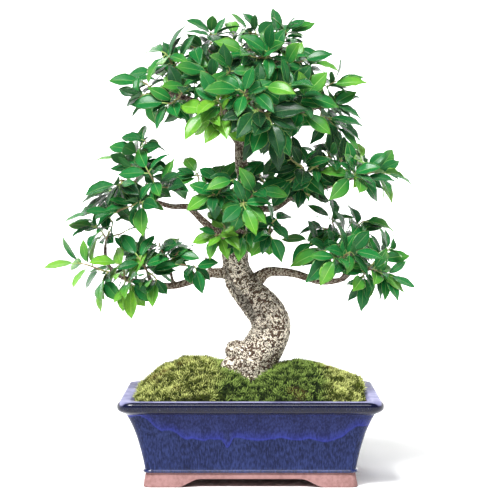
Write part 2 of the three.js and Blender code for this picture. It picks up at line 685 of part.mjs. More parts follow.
function pointAlong(points, lengths, along) {
  let i = 1;
  while (i < points.length - 1 && lengths[i] < along) {
    i += 1;
  }
  const share = (along - lengths[i - 1]) / (lengths[i] - lengths[i - 1]);
  return points[i - 1].clone().lerp(points[i], share);
}

// A curve that leaves one point along one heading and arrives at another along its own.
function sweep(from, heading, to, arrival) {
  const reach = CURVE_REACH * from.distanceTo(to);
  const early = from.clone().addScaledVector(heading, reach);
  const late = to.clone().addScaledVector(arrival, -reach);
  return new THREE.CubicBezierCurve3(from, early, late, to);
}

function aim(azimuth, elevation) {
  const [a, e] = [radians(azimuth), radians(elevation)];
  return vector(Math.cos(e) * Math.cos(a), Math.cos(e) * Math.sin(a), Math.sin(e));
}

// The routes of one spray: its woody twig, the green shoot that carries on straightest from the twig's
// end, and side shoots that leave that one just above its base.
function sprayRoutes([, parent, , endPoint, shoots]) {
  const end = vector(...endPoint);
  const middle = vector(0, 0, 0);
  shoots.forEach(([x, y, z]) => middle.addScaledVector(vector(x, y, z), 1 / shoots.length));
  const root = twigRoot(branchPoints(parent), end);
  const outward = end.clone().sub(root.point).normalize();
  const arrival = middle.sub(end).normalize().multiplyScalar(0.6).add(outward).normalize();
  const start = outward.clone().add(root.heading).normalize();
  const twig = sweep(root.point, start, end, arrival);
  const first = end.clone().addScaledVector(arrival, GAP);
  const ahead = ([x, y, z]) => vector(x, y, z).sub(first).normalize().dot(arrival);
  const rows = shoots.slice().sort((a, b) => ahead(b) - ahead(a));
  const [mainRow, ...sideRows] = rows;
  const ways = forkWays(first, arrival, sideRows);
  const routes = sideRows.map(([x, y, z, azimuth, elevation], i) => {
    const fork = first.clone()
      .addScaledVector(arrival, FORK_HEIGHT)
      .addScaledVector(ways[i], SHOOT_RADIUS / 2);
    const leaving = ways[i].clone().add(arrival).normalize();
    return sweep(fork, leaving, vector(x, y, z), aim(azimuth, elevation));
  });
  const [x, y, z, azimuth, elevation] = mainRow;
  routes.unshift(sweep(first, arrival, vector(x, y, z), aim(azimuth, elevation)));
  return { twig, rows, routes, ways };
}

// Ways out of a shoot's base for its side shoots, out of three that lie a third of a turn apart: the
// choice that points them best at their tips.
function forkWays(base, axis, rows) {
  const wanted = rows.map(([x, y, z]) => across(vector(x, y, z).sub(base), axis));
  const start = across(vector(0.2, 0.3, 1), axis);
  let best = { score: -Infinity, ways: [] };
  for (let turn = 0; turn < 360; turn += 15) {
    [120, -120].forEach((step) => {
      const ways = wanted.map((unused, i) => start.clone().applyAxisAngle(axis, radians(turn + i * step)));
      const score = ways.reduce((sum, way, i) => sum + way.dot(wanted[i]), 0);
      if (score > best.score) {
        best = { score, ways };
      }
    });
  }
  return best.ways;
}

// The part of a direction that is square to an axis.
function across(direction, axis) {
  return direction.clone().addScaledVector(axis, -direction.dot(axis)).normalize();
}

// The leaves of one shoot: one at its tip, the rest spiralling back down it.
function shootLeaves(route, [, , , , , count, size], random) {
  const length = route.getLength();
  const spin = 360 * random();
  return Array.from({ length: count }, (unused, k) => {
    const [r1, r2, r3, r4, r5, r6] = Array.from({ length: 6 }, random);
    const t = 1 - Math.min(k * LEAF_STEP, 0.85 * length * (k / count)) / length;
    const root = route.getPoint(t);
    const axis = route.getTangent(t);
    const side = axis.clone().cross(vector(0.3, 0.2, 1)).normalize();
    const other = axis.clone().cross(side);
    const angle = radians(spin + GOLDEN_ANGLE * k + 30 * (r1 - 0.5));
    const cone = k === 0 ? radians(12 * r2) : radians(42 + 7 * k + 16 * (r2 - 0.5));
    const heading = axis.clone().multiplyScalar(Math.cos(cone))
      .addScaledVector(side, Math.sin(cone) * Math.cos(angle))
      .addScaledVector(other, Math.sin(cone) * Math.sin(angle));
    heading.z -= 0.12 + 0.16 * r5;
    heading.normalize();
    const outward = vector(root.x * 0.55, root.y, 0).divideScalar(70).clampLength(0, 1);
    const face = vector(0.9 * (r4 - 0.5), -0.35 + 0.5 * (r1 - 0.5), 0.8).add(outward);
    return {
      t,
      root,
      axis,
      heading,
      face: across(face, heading),
      length: size * (k === 0 ? 1.08 : 0.84 + 0.3 * r3),
      width: 0.42 + 0.1 * r6,
      arch: radians(14 + 34 * r5),
    };
  });
}

// Half the blade's width at a share of its length, for a blade of width 1.
function bladeOutline(share) {
  return 0.5 * Math.sin(Math.PI * share ** 0.92) ** 0.8;
}

// The rings of an arched blade with a keel, and its tip, fatter by the extra amount.
function bladeRings(leaf, extra) {
  const { root, heading, face, length, width, arch } = leaf;
  const side = heading.clone().cross(face);
  const radius = length / arch;
  const place = (share) => root.clone()
    .addScaledVector(heading, radius * Math.sin(arch * share))
    .addScaledVector(face, -radius * (1 - Math.cos(arch * share)));
  const rings = BLADE_STATIONS.map((bladeShare) => {
    const half = Math.max(bladeOutline(bladeShare) * width * length, STALK_RADIUS) + extra;
    const share = PETIOLE_SHARE + (1 - PETIOLE_SHARE) * bladeShare;
    const turn = arch * share;
    const up = face.clone().multiplyScalar(Math.cos(turn)).addScaledVector(heading, Math.sin(turn));
    const point = place(share);
    const depth = Math.min(KEEL_DEPTH, 2 * half);
    return [
      point.clone().addScaledVector(side, -half).addScaledVector(up, depth / 2 + extra),
      point.clone().addScaledVector(side, half).addScaledVector(up, depth / 2 + extra),
      point.clone().addScaledVector(up, -depth / 2 - 2 * extra),
    ];
  });
  return { rings, tip: place(1).addScaledVector(heading, extra) };
}

// A ring of three points round a place, the first two either side of the given direction.
function triangleRing(centre, axis, toward, radius) {
  const u = across(toward, axis);
  const v = axis.clone().cross(u);
  return [-60, 60, 180].map((angle) => centre.clone()
    .addScaledVector(u, radius * Math.cos(radians(angle)))
    .addScaledVector(v, radius * Math.sin(radians(angle))));
}

// Turns a ring's order so that it follows on from the ring before it with the least twist.
function alignRing(before, ring) {
  const centreOf = (list) => list.reduce((sum, p) => sum.add(p), vector(0, 0, 0)).divideScalar(3);
  const [from, to] = [centreOf(before), centreOf(ring)];
  const twist = (shift) => before.reduce((sum, p, j) => (
    sum - p.clone().sub(from).dot(ring[(j + shift) % 3].clone().sub(to))
  ), 0);
  const shift = [0, 1, 2].sort((a, b) => twist(a) - twist(b))[0];
  return { shift, ring: ring.map((p, j) => ring[(j + shift) % 3]) };
}

// A closed mesh that grows: a limb takes the place of one of its triangles.
class Growth {
  constructor(ring) {
    this.points = ring;
    this.faces = [[0, 2, 1]];
    this.quads = [];
  }

  add(points) {
    this.points.push(...points);
    return points.map((p, j) => this.points.length - points.length + j);
  }

  // Carries a triangle of open edges on to the next ring, and gives back that ring in its own order.
  carry(open, ring) {
    const aligned = alignRing(open.map((i) => this.points[i]), ring);
    const next = this.add(aligned.ring);
    open.forEach((a, j) => {
      const k = (j + 1) % 3;
      this.quads.push([a, open[k], next[k], next[j]]);
    });
    return ring.map((p, j) => next[(j - aligned.shift + 3) % 3]);
  }

  close(open) {
    this.faces.push(open);
  }

  growBlade(open, leaf) {
    const { rings, tip } = bladeRings(leaf, 0);
    const last = rings.reduce((from, ring) => this.carry(from, ring), open);
    const [point] = this.add([tip]);
    last.forEach((a, j) => this.faces.push([a, last[(j + 1) % 3], point]));
  }

  // Opens a small triangle in the side that stands on the edge from a to b.
  sprout(a, b, height) {
    const found = this.quads.findIndex((quad) => quad[0] === a && quad[1] === b);
    const [[, , farB, farA]] = this.quads.splice(found, 1);
    const near = this.points[a].clone().lerp(this.points[b], 0.5);
    const far = this.points[farA].clone().lerp(this.points[farB], 0.5);
    const share = Math.min(height / near.distanceTo(far), 0.6);
    const [c] = this.add([near.lerp(far, share)]);
    this.faces.push([b, farB, c], [farB, farA, c], [farA, a, c]);
    return [a, b, c];
  }

  triangles() {
    return [...this.faces, ...this.quads.flatMap(([a, b, c, d]) => [[a, b, c], [a, c, d]])];
  }

  countCrossings() {
    return countCrossings(this.points, this.triangles());
  }

  toSolid() {
    return solidOf(this.points, this.triangles());
  }
}

// A closed stand-in for a leaf, from just outside its shoot, for seeing what it would cross.
function leafProbe(leaf, extra) {
  const { root, heading, face } = leaf;
  const start = root.clone().addScaledVector(heading, PROBE_START);
  const probe = new Growth(triangleRing(start, heading, face.clone().negate(), 0.5 + extra));
  const { rings, tip } = bladeRings(leaf, extra);
  const last = rings.reduce((from, ring) => probe.carry(from, ring), [0, 1, 2]);
  const [point] = probe.add([tip]);
  last.forEach((a, j) => probe.faces.push([a, last[(j + 1) % 3], point]));
  return probe.toSolid();
}

function taperedTube(curve, fromRadius, toRadius, steps, sides) {
  const points = curve.getPoints(steps);
  const radii = points.map((p, i) => fromRadius + ((toRadius - fromRadius) * i) / steps);
  const tangents = points.map((p, i) => curve.getTangent(i / steps));
  return tube(points, radii, sides, tangents);
}

function rowTube(rows, sides, extra = 0) {
  return tube(rows.map(([x, y, z]) => vector(x, y, z)), rows.map(([, , , radius]) => radius + extra), sides);
}

// The trunk with its stump and roots, from the soil up; a little fatter where it cuts its own hole.
function trunkSolid(rows, extra) {
  const [x, y, z, radius] = rows[0];
  const lengthened = [[x, y, z - extra, radius], ...rows.slice(1)];
  const limbs = [STUMP, ...ROOTS].map((limb) => rowTube(limb, LIMB_SIDES, extra));
  return union([rowTube(lengthened, TRUNK_SIDES, extra), ...limbs]);
}

function buildWood(plans) {
  const branches = Object.values(BRANCHES).map((rows) => rowTube(rows, BRANCH_SIDES));
  const twigs = plans.map(({ twig }) => {
    const steps = twig.getLength() > LONG_TWIG ? 2 : 1;
    return taperedTube(twig, TWIG_BASE_RADIUS, TWIG_RADIUS, steps, 3);
  });
  return mainBody(union([trunkSolid(TRUNK, 0), ...branches, ...twigs]));
}

function boxesMeet(a, b) {
  return [0, 1, 2].every((i) => a.min[i] < b.max[i] && b.min[i] < a.max[i]);
}

// The pieces already placed, and whether a new one would lie clear of them.
class Clearing {
  constructor(solids) {
    this.placed = [];
    solids.forEach((solid) => this.place(solid, null));
  }

  place(solid, shoot) {
    this.placed.push({ solid, shoot, bounds: solid.boundingBox() });
  }

  isClear(solid, shoot) {
    const bounds = solid.boundingBox();
    return this.placed.every((other) => (
      (shoot && other.shoot === shoot) || !boxesMeet(bounds, other.bounds)
      || solid.intersect(other.solid).isEmpty()
    ));
  }
}

// Drops the leaves that would cross the wood, another shoot or a leaf that is already there.
function chooseLeaves(plans, wood) {
  const clearing = new Clearing([wood]);
  const shoots = plans.flatMap(({ rows, routes, ways }, owner) => {
    const random = randomStream(owner + 1);
    return routes.map((route, i) => ({
      owner,
      route,
      way: ways[i - 1],
      leaves: shootLeaves(route, rows[i], random),
      kept: [],
    }));
  });
  shoots.forEach((shoot) => {
    const reach = SHOOT_RADIUS + GAP;
    clearing.place(taperedTube(shoot.route, reach, reach, 6, 5), shoot);
    shoot.stem = taperedTube(shoot.route, SHOOT_RADIUS, SHOOT_RADIUS * (1 - SHOOT_TAPER), 6, 3);
  });
  const rounds = Math.max(...shoots.map(({ leaves }) => leaves.length));
  for (let k = 0; k < rounds; k += 1) {
    shoots.filter(({ leaves }) => leaves.length > k).forEach((shoot) => {
      const leaf = shoot.leaves[k];
      const probe = leafProbe(leaf, LEAF_CLEARANCE);
      const clearOfStem = k === 0 || probe.intersect(shoot.stem).isEmpty();
      if (clearOfStem && clearing.isClear(probe, shoot)) {
        clearing.place(leafProbe(leaf, 0), null);
        shoot.kept.push(leaf);
      }
    });
  }
  return shoots;
}

// Whether an edge of one triangle passes through another that it shares no corner with.
function pierces(from, through) {
  return from.ids.some((id, j) => {
    const next = (j + 1) % 3;
    if (through.ids.includes(id) || through.ids.includes(from.ids[next])) {
      return false;
    }
    const start = from.corners[j];
    const way = from.corners[next].clone().sub(start);
    const ray = new THREE.Ray(start, way.clone().normalize());
    const hit = ray.intersectTriangle(...through.corners, false, vector());
    return hit !== null && hit.distanceTo(start) < way.length();
  });
}

// How many pairs of a surface's triangles cross each other.
function countCrossings(points, faces) {
  const triangles = faces.map((ids) => {
    const corners = ids.map((i) => points[i]);
    return { ids, corners, bounds: new THREE.Box3().setFromPoints(corners) };
  });
  return triangles.reduce((total, a, i) => total + triangles.slice(i + 1).filter((b) => (
    a.bounds.intersectsBox(b.bounds) && (pierces(a, b) || pierces(b, a))
  )).length, 0);
}

// Grows one spray, without the leaves that would make its surface cross itself, the worst first.
function pruneSpray(stems, collar) {
  const trial = (shoots) => {
    const growth = growStems(shoots, collar);
    return { growth, stems: shoots, crossings: growth.countCrossings() };
  };
  let best = trial(stems);
  while (best.crossings > 0) {
    const trials = best.stems.flatMap((stem, i) => stem.kept.map((leaf) => (
      trial(best.stems.with(i, { ...stem, kept: stem.kept.filter((other) => other !== leaf) }))
    )));
    if (trials.length === 0) {
      return best;
    }
    [best] = trials.sort((a, b) => a.crossings - b.crossings);
  }
  return best;
}

// A spray with or without a collar ring at each fork, whichever holds more leaves.
function growSpray(stems) {
  const count = ({ stems: shoots }) => shoots.reduce((sum, { kept }) => sum + kept.length, 0);
  const [plain, collared] = [0, COLLAR].map((collar) => pruneSpray(stems, collar));
  return (count(collared) > count(plain) ? collared : plain).growth;
}

function growStems([first, ...sides], collar) {
  const axis = first.route.getTangent(0);
  const toward = sides.length > 0 ? sides[0].way : vector(0.2, 0.3, 1);
  const growth = new Growth(triangleRing(first.route.getPoint(0), axis, toward, 1.2 * SHOOT_RADIUS));
  growShoot(growth, [0, 1, 2], first, collar);
  sides.forEach((shoot) => {
    const turn = Math.atan2(toward.clone().cross(shoot.way).dot(axis), toward.dot(shoot.way));
    const face = (Math.round(turn / radians(120)) + 3) % 3;
    const root = growth.sprout(face, (face + 1) % 3, FORK_WINDOW);
    growShoot(growth, root, shoot, collar);
  });
  return growth;
}

// Grows one shoot and its leaves from a triangle of open edges.
function growShoot(growth, open, { route, kept }, collar) {
  const tipLeaf = kept.find(({ t }) => t === 1);
  const nodes = kept.filter(({ t }) => t < 1).reverse();
  const stations = [...nodes, tipLeaf || { t: 1, heading: aim(40, 50) }];
  const start = collar / route.getLength();
  if (start > 0 && start < stations[0].t - start / 2) {
    stations.unshift({ t: start, heading: stations[0].heading });
  }
  let ring = open;
  let leafBelow = null;
  stations.forEach((node) => {
    const axis = route.getTangent(node.t);
    const radius = SHOOT_RADIUS * (1 - SHOOT_TAPER * node.t);
    const next = triangleRing(route.getPoint(node.t), axis, node.heading, radius);
    const below = ring;
    ring = growth.carry(below, next);
    if (leafBelow && leafBelow.root) {
      growth.growBlade(growth.sprout(below[0], below[1], SPROUT_HEIGHT), leafBelow);
    }
    leafBelow = node;
  });
  if (tipLeaf) {
    growth.growBlade(ring, tipLeaf);
  } else {
    growth.close(ring);
  }
}

function buildSprays(shoots) {
  SPRAYS.forEach(([name, , tone], owner) => {
    const growth = growSpray(shoots.filter((shoot) => shoot.owner === owner));
    addMesh(`leaves_${name}`, growth.toSolid(), { color: LEAF_TONES[tone], roughness: 0.35 });
  });
}

buildPot();
buildScreens();
buildGround(trunkSolid(TRUNK.slice(0, 6), GAP));
const plans = SPRAYS.map(sprayRoutes);
const wood = buildWood(plans);
addMesh('trunk_and_branches', wood, BARK);
buildSprays(chooseLeaves(plans, wood));

// Everything above is placed from the pot's middle; the part's own origin is the whole's middle.
const middle = new THREE.Box3().setFromObject(tree).getCenter(vector());
tree.position.set(-middle.x, -middle.y, 0);

export default part;
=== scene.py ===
"""Golden gate ficus bonsai: glazed pot, moss, bark and leafy sprays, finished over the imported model."""

import math

import bmesh
import bpy
import numpy as np
from bpy.props import FloatProperty, FloatVectorProperty, IntProperty, PointerProperty
from mathutils import Matrix, Quaternion, Vector, noise
from mathutils.bvhtree import BVHTree


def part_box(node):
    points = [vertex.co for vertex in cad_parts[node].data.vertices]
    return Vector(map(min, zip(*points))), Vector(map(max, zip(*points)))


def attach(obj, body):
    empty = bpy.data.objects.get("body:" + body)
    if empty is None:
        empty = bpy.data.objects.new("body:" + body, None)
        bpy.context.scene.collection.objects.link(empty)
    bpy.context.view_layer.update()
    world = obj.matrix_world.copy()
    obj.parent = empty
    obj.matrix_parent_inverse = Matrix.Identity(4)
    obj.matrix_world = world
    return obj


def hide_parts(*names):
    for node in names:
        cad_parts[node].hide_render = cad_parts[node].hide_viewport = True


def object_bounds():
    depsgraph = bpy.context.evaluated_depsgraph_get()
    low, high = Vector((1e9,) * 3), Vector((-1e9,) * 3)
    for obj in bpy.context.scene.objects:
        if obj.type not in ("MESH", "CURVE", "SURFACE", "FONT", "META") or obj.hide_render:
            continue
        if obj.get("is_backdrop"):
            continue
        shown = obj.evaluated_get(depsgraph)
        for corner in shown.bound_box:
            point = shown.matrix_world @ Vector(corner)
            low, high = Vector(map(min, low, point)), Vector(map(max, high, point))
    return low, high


bl_info = {
    "name": "Golden Gate Ficus Bonsai",
    "version": (1, 0, 0),
    "blender": (4, 5, 0),
    "location": "3D View > Sidebar > Bonsai",
    "description": "Finishes a packed ficus bonsai: pot, soil, moss, wood, leafy sprays and stage",
    "category": "Object",
}

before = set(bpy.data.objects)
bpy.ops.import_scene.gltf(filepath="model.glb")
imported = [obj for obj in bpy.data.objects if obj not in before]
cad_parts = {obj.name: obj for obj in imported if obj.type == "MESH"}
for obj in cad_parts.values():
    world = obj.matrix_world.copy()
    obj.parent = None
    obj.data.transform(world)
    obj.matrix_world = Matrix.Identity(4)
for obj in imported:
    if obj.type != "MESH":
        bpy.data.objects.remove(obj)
PACKED_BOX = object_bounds()
MILLIMETRE = 0.001
BODY = "root"

# The source's drawing has its origin at the middle of the pot, in millimetres.
POT_LOW, POT_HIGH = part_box("pot")
POT_MIDDLE = Vector(((POT_LOW.x + POT_HIGH.x) / 2, (POT_LOW.y + POT_HIGH.y) / 2, 0))

# Pot sizes, as in the source
RIM_LENGTH = 280
RIM_WIDTH = 215
RIM_CORNER = 17
SMALLEST_CORNER = 3
CORNER_TAPER = 0.32
CORNER_STEPS = 10
LONG_SIDE_STEPS = 14
SHORT_SIDE_STEPS = 10
ARCH_HEIGHT = 9
ARCH_SILL = 0.4
ARCH_SETBACK = 1
ARCH_STEPS = 10
ARCH_TOP_LENGTH = 106
ARCH_FOOT_LENGTH = 158
SIDE_ARCH_TOP = 54
SIDE_ARCH_FOOT = 90
DRAIN_DIAMETER = 16
DRAIN_SPACING = 108
DRAIN_SIDES = 40
FOOT_PROFILE = [[40, 9.5], [39, 0], [27.6, 0], [26.6, 1.2], [27.4, 5], [28.8, 13.5], [29.4, 15]]
GLAZED_PROFILE = [
    [27, 15.8], [26.4, 17.4], [27.4, 19], [28, 21], [24.4, 38], [18.7, 58], [13.2, 71], [10.6, 76],
    [9.2, 78.6], [4.8, 80.8], [1.2, 83.4], [0, 87.2], [0.7, 90.8], [3, 92.6], [6, 93],
    [12.6, 93], [14.4, 92], [18.5, 88], [19.5, 79], [28, 50], [34, 24], [39, 18],
]

# Edges of the pot that are sharper than this many degrees are rounded
SHARP_ANGLE = 50

# Growth of the sprays, as in the source
TWIG_RADIUS = 1.3
TWIG_BASE_RADIUS = 2.1
CURVE_REACH = 0.36
SHOOT_RADIUS = 1.15
SHOOT_TAPER = 0.35
FORK_HEIGHT = 2.5
GOLDEN_ANGLE = 137.5
PETIOLE_SHARE = 0.14
LEAF_STEP = 7.5
SHOOT_GAP = 0.3

# The middle line of each limb: x, y, z and radius, in the drawing's millimetres
TRUNK = [
    [-7, 0, 68, 21], [-7, 0, 92, 22.5], [-3, 0, 112, 23.5], [5, 0, 129, 22.8], [16, 0, 145, 21.8],
    [22.5, 0, 161, 21.4], [19, 0, 176, 20.8], [9, 0, 190, 19.4], [-2.5, 0, 203, 17.8],
    [-11.5, 0, 217, 16], [-16, 0, 233, 14.8], [-16.5, 0, 249, 14], [-13.5, 0, 264, 12.4],
    [-7, 0, 280, 10], [-3, 0, 297, 8.4], [-6, 0, 315, 7.6], [-10, 0, 335, 7], [-11, 0, 356, 6.6],
    [-10.5, 0, 375, 6.2], [-8, 0, 394, 5.4], [-7, 0, 412, 4.4], [-6, 0, 434, 3.4], [-4, -2, 456, 2.4],
]
STUMP = [
    [8, -2, 132, 15], [-10, -5, 136, 12.5], [-20, -6, 139, 10.6], [-25, -6, 141, 7], [-26.5, -6, 141.6, 3.5],
]
ROOTS = [
    [[0, -3, 128, 17], [-18, -8, 118, 15], [-34, -12, 105, 10], [-46, -16, 92, 6]],
    [[8, 4, 126, 17], [24, 12, 114, 13], [38, 20, 100, 9], [48, 26, 88, 6]],
]
# Creases of the trunk's front: depth, half width and line [x, z]
CREASE_FRONT = 6
CREASES = [
    [3.8, 3.8, [[-31, 224], [-25, 212], [-15, 200], [-6, 190], [0, 180], [2, 172]]],
    [1.6, 1.3, [[-2, 166], [6, 162], [13, 162], [22, 165]]],
    [-1.6, 4.0, [[1, 171], [8, 169]]],
    [1.2, 1.4, [[2, 160], [12, 148], [16, 136]]],
]

BRANCHES = {
    "left_low": [
        [-9, 0, 221, 8], [-31, -1, 222, 6.3], [-44, -3, 222, 5.2], [-59, -8, 216, 4.5],
        [-85, -12, 209, 3.8], [-109, -14, 212, 3.3], [-133, -12, 216, 2.8], [-150, -8, 225, 2.4],
        [-157, -6, 238, 2.2], [-158, -4, 250, 2],
    ],
    "left_stub": [[-42, -3, 222, 3.2], [-45, -6, 230, 2], [-49, -8, 240, 1.4]],
    "left_high": [
        [-11, 0, 262, 7.5], [-29, -6, 263, 5.5], [-41, -10, 270, 4.6], [-51, -14, 279, 4],
        [-61, -16, 289, 3.6], [-69, -18, 295, 3.4], [-84, -20, 295, 3], [-99, -20, 299, 2.7],
        [-113, -20, 303, 2.4], [-125, -18, 310, 2], [-135, -14, 320, 1.7],
    ],
    "right_low": [
        [-2, 0, 207, 10.5], [10, -2, 217, 7.4], [19, -4, 223, 5.8], [32, -8, 224, 4.8],
        [48, -12, 222, 4.4], [64, -15, 217, 4.1], [75, -17, 214, 3.8], [89, -18, 214, 3.2],
        [102, -18, 218, 2.7], [110, -16, 228, 2.3], [109, -14, 239, 2], [106, -12, 250, 1.7],
    ],
    "right_high": [
        [-8, 0, 270, 7], [3, -8, 286, 4.8], [12, -14, 292, 4], [23, -18, 292, 3.6], [33, -20, 297, 3.3],
        [43, -22, 304, 3], [57, -24, 309, 2.8], [75, -24, 314, 2.6], [91, -24, 319, 2.3],
        [107, -22, 325, 2], [123, -20, 327, 1.6],
    ],
    "front_left_stem": [[-15, -2, 256, 7], [-21, -26, 278, 4], [-26, -44, 295, 3], [-28, -56, 308, 2.2]],
    "front_stem": [[-12, -2, 260, 7], [-13, -34, 285, 3.5], [-15, -54, 301, 2.6], [-16, -66, 314, 2]],
    "front_right_stem": [[-10, -2, 250, 6], [6, -26, 259, 3.2], [17, -42, 263, 2.4], [23, -52, 271, 2]],
    "front_low_stem": [[-16, -2, 246, 6], [-24, -32, 256, 3], [-30, -46, 260, 2.2]],
    "back_stem": [[-4, 1, 286, 7], [-13, 36, 293, 3.2], [-24, 66, 295, 2.4]],
    "back_high_stem": [[-5, 1, 308, 6.5], [11, 36, 313, 3.2], [22, 68, 310, 2.4]],
    "back_low_stem": [[-12, 2, 256, 8], [-12, 40, 260, 3.2], [-14, 64, 264, 2.4]],
    "crown_left": [
        [-10.5, 0, 376, 5.4], [-28, -15, 391, 4], [-49, -25, 403, 3.3], [-71, -28, 412, 2.8],
        [-92, -22, 416, 2.2],
    ],
    "crown_left_high": [
        [-8.5, 0, 391, 4.8], [-27, 5, 410, 3.6], [-46, 10, 428, 3], [-64, 12, 441, 2.4],
        [-77, 10, 451, 1.9],
    ],
    "crown_top_left": [[-7, 0, 400, 4.6], [-17, -2, 421, 3.4], [-27, -5, 443, 2.8], [-34, -6, 458, 2.1]],
    "crown_top_right": [[-7.5, 0, 397, 4.8], [6, 2, 419, 3.4], [19, 5, 439, 2.7], [31, 6, 456, 2.1]],
    "crown_right_high": [[-9, 0, 384, 5], [13, -5, 401, 3.8], [36, -8, 417, 3], [57, -8, 430, 2.3]],
    "crown_right": [
        [-10, 0, 372, 5.6], [12, -12, 384, 4], [37, -20, 393, 3.2], [62, -22, 399, 2.5],
        [77, -20, 403, 2],
    ],
    "crown_front": [[-10, 0, 368, 5.8], [-8, -34, 378, 3.6], [-5, -64, 388, 2.8]],
    "crown_front_left": [[-10, 0, 363, 5.8], [-24, -38, 377, 3.4], [-39, -60, 388, 2.6]],
    "crown_front_right": [[-9.5, 0, 374, 5.6], [10, -38, 389, 3.3], [27, -60, 401, 2.5]],
    "crown_back": [[-10, 0, 374, 5.6], [-9, 40, 395, 3.6], [-12, 74, 411, 2.7]],
    "crown_back_left": [[-9, 0, 382, 5], [-32, 36, 400, 3.2], [-54, 64, 413, 2.4]],
    "crown_back_right": [[-8, 0, 386, 5], [15, 36, 403, 3.2], [37, 62, 417, 2.4]],
}
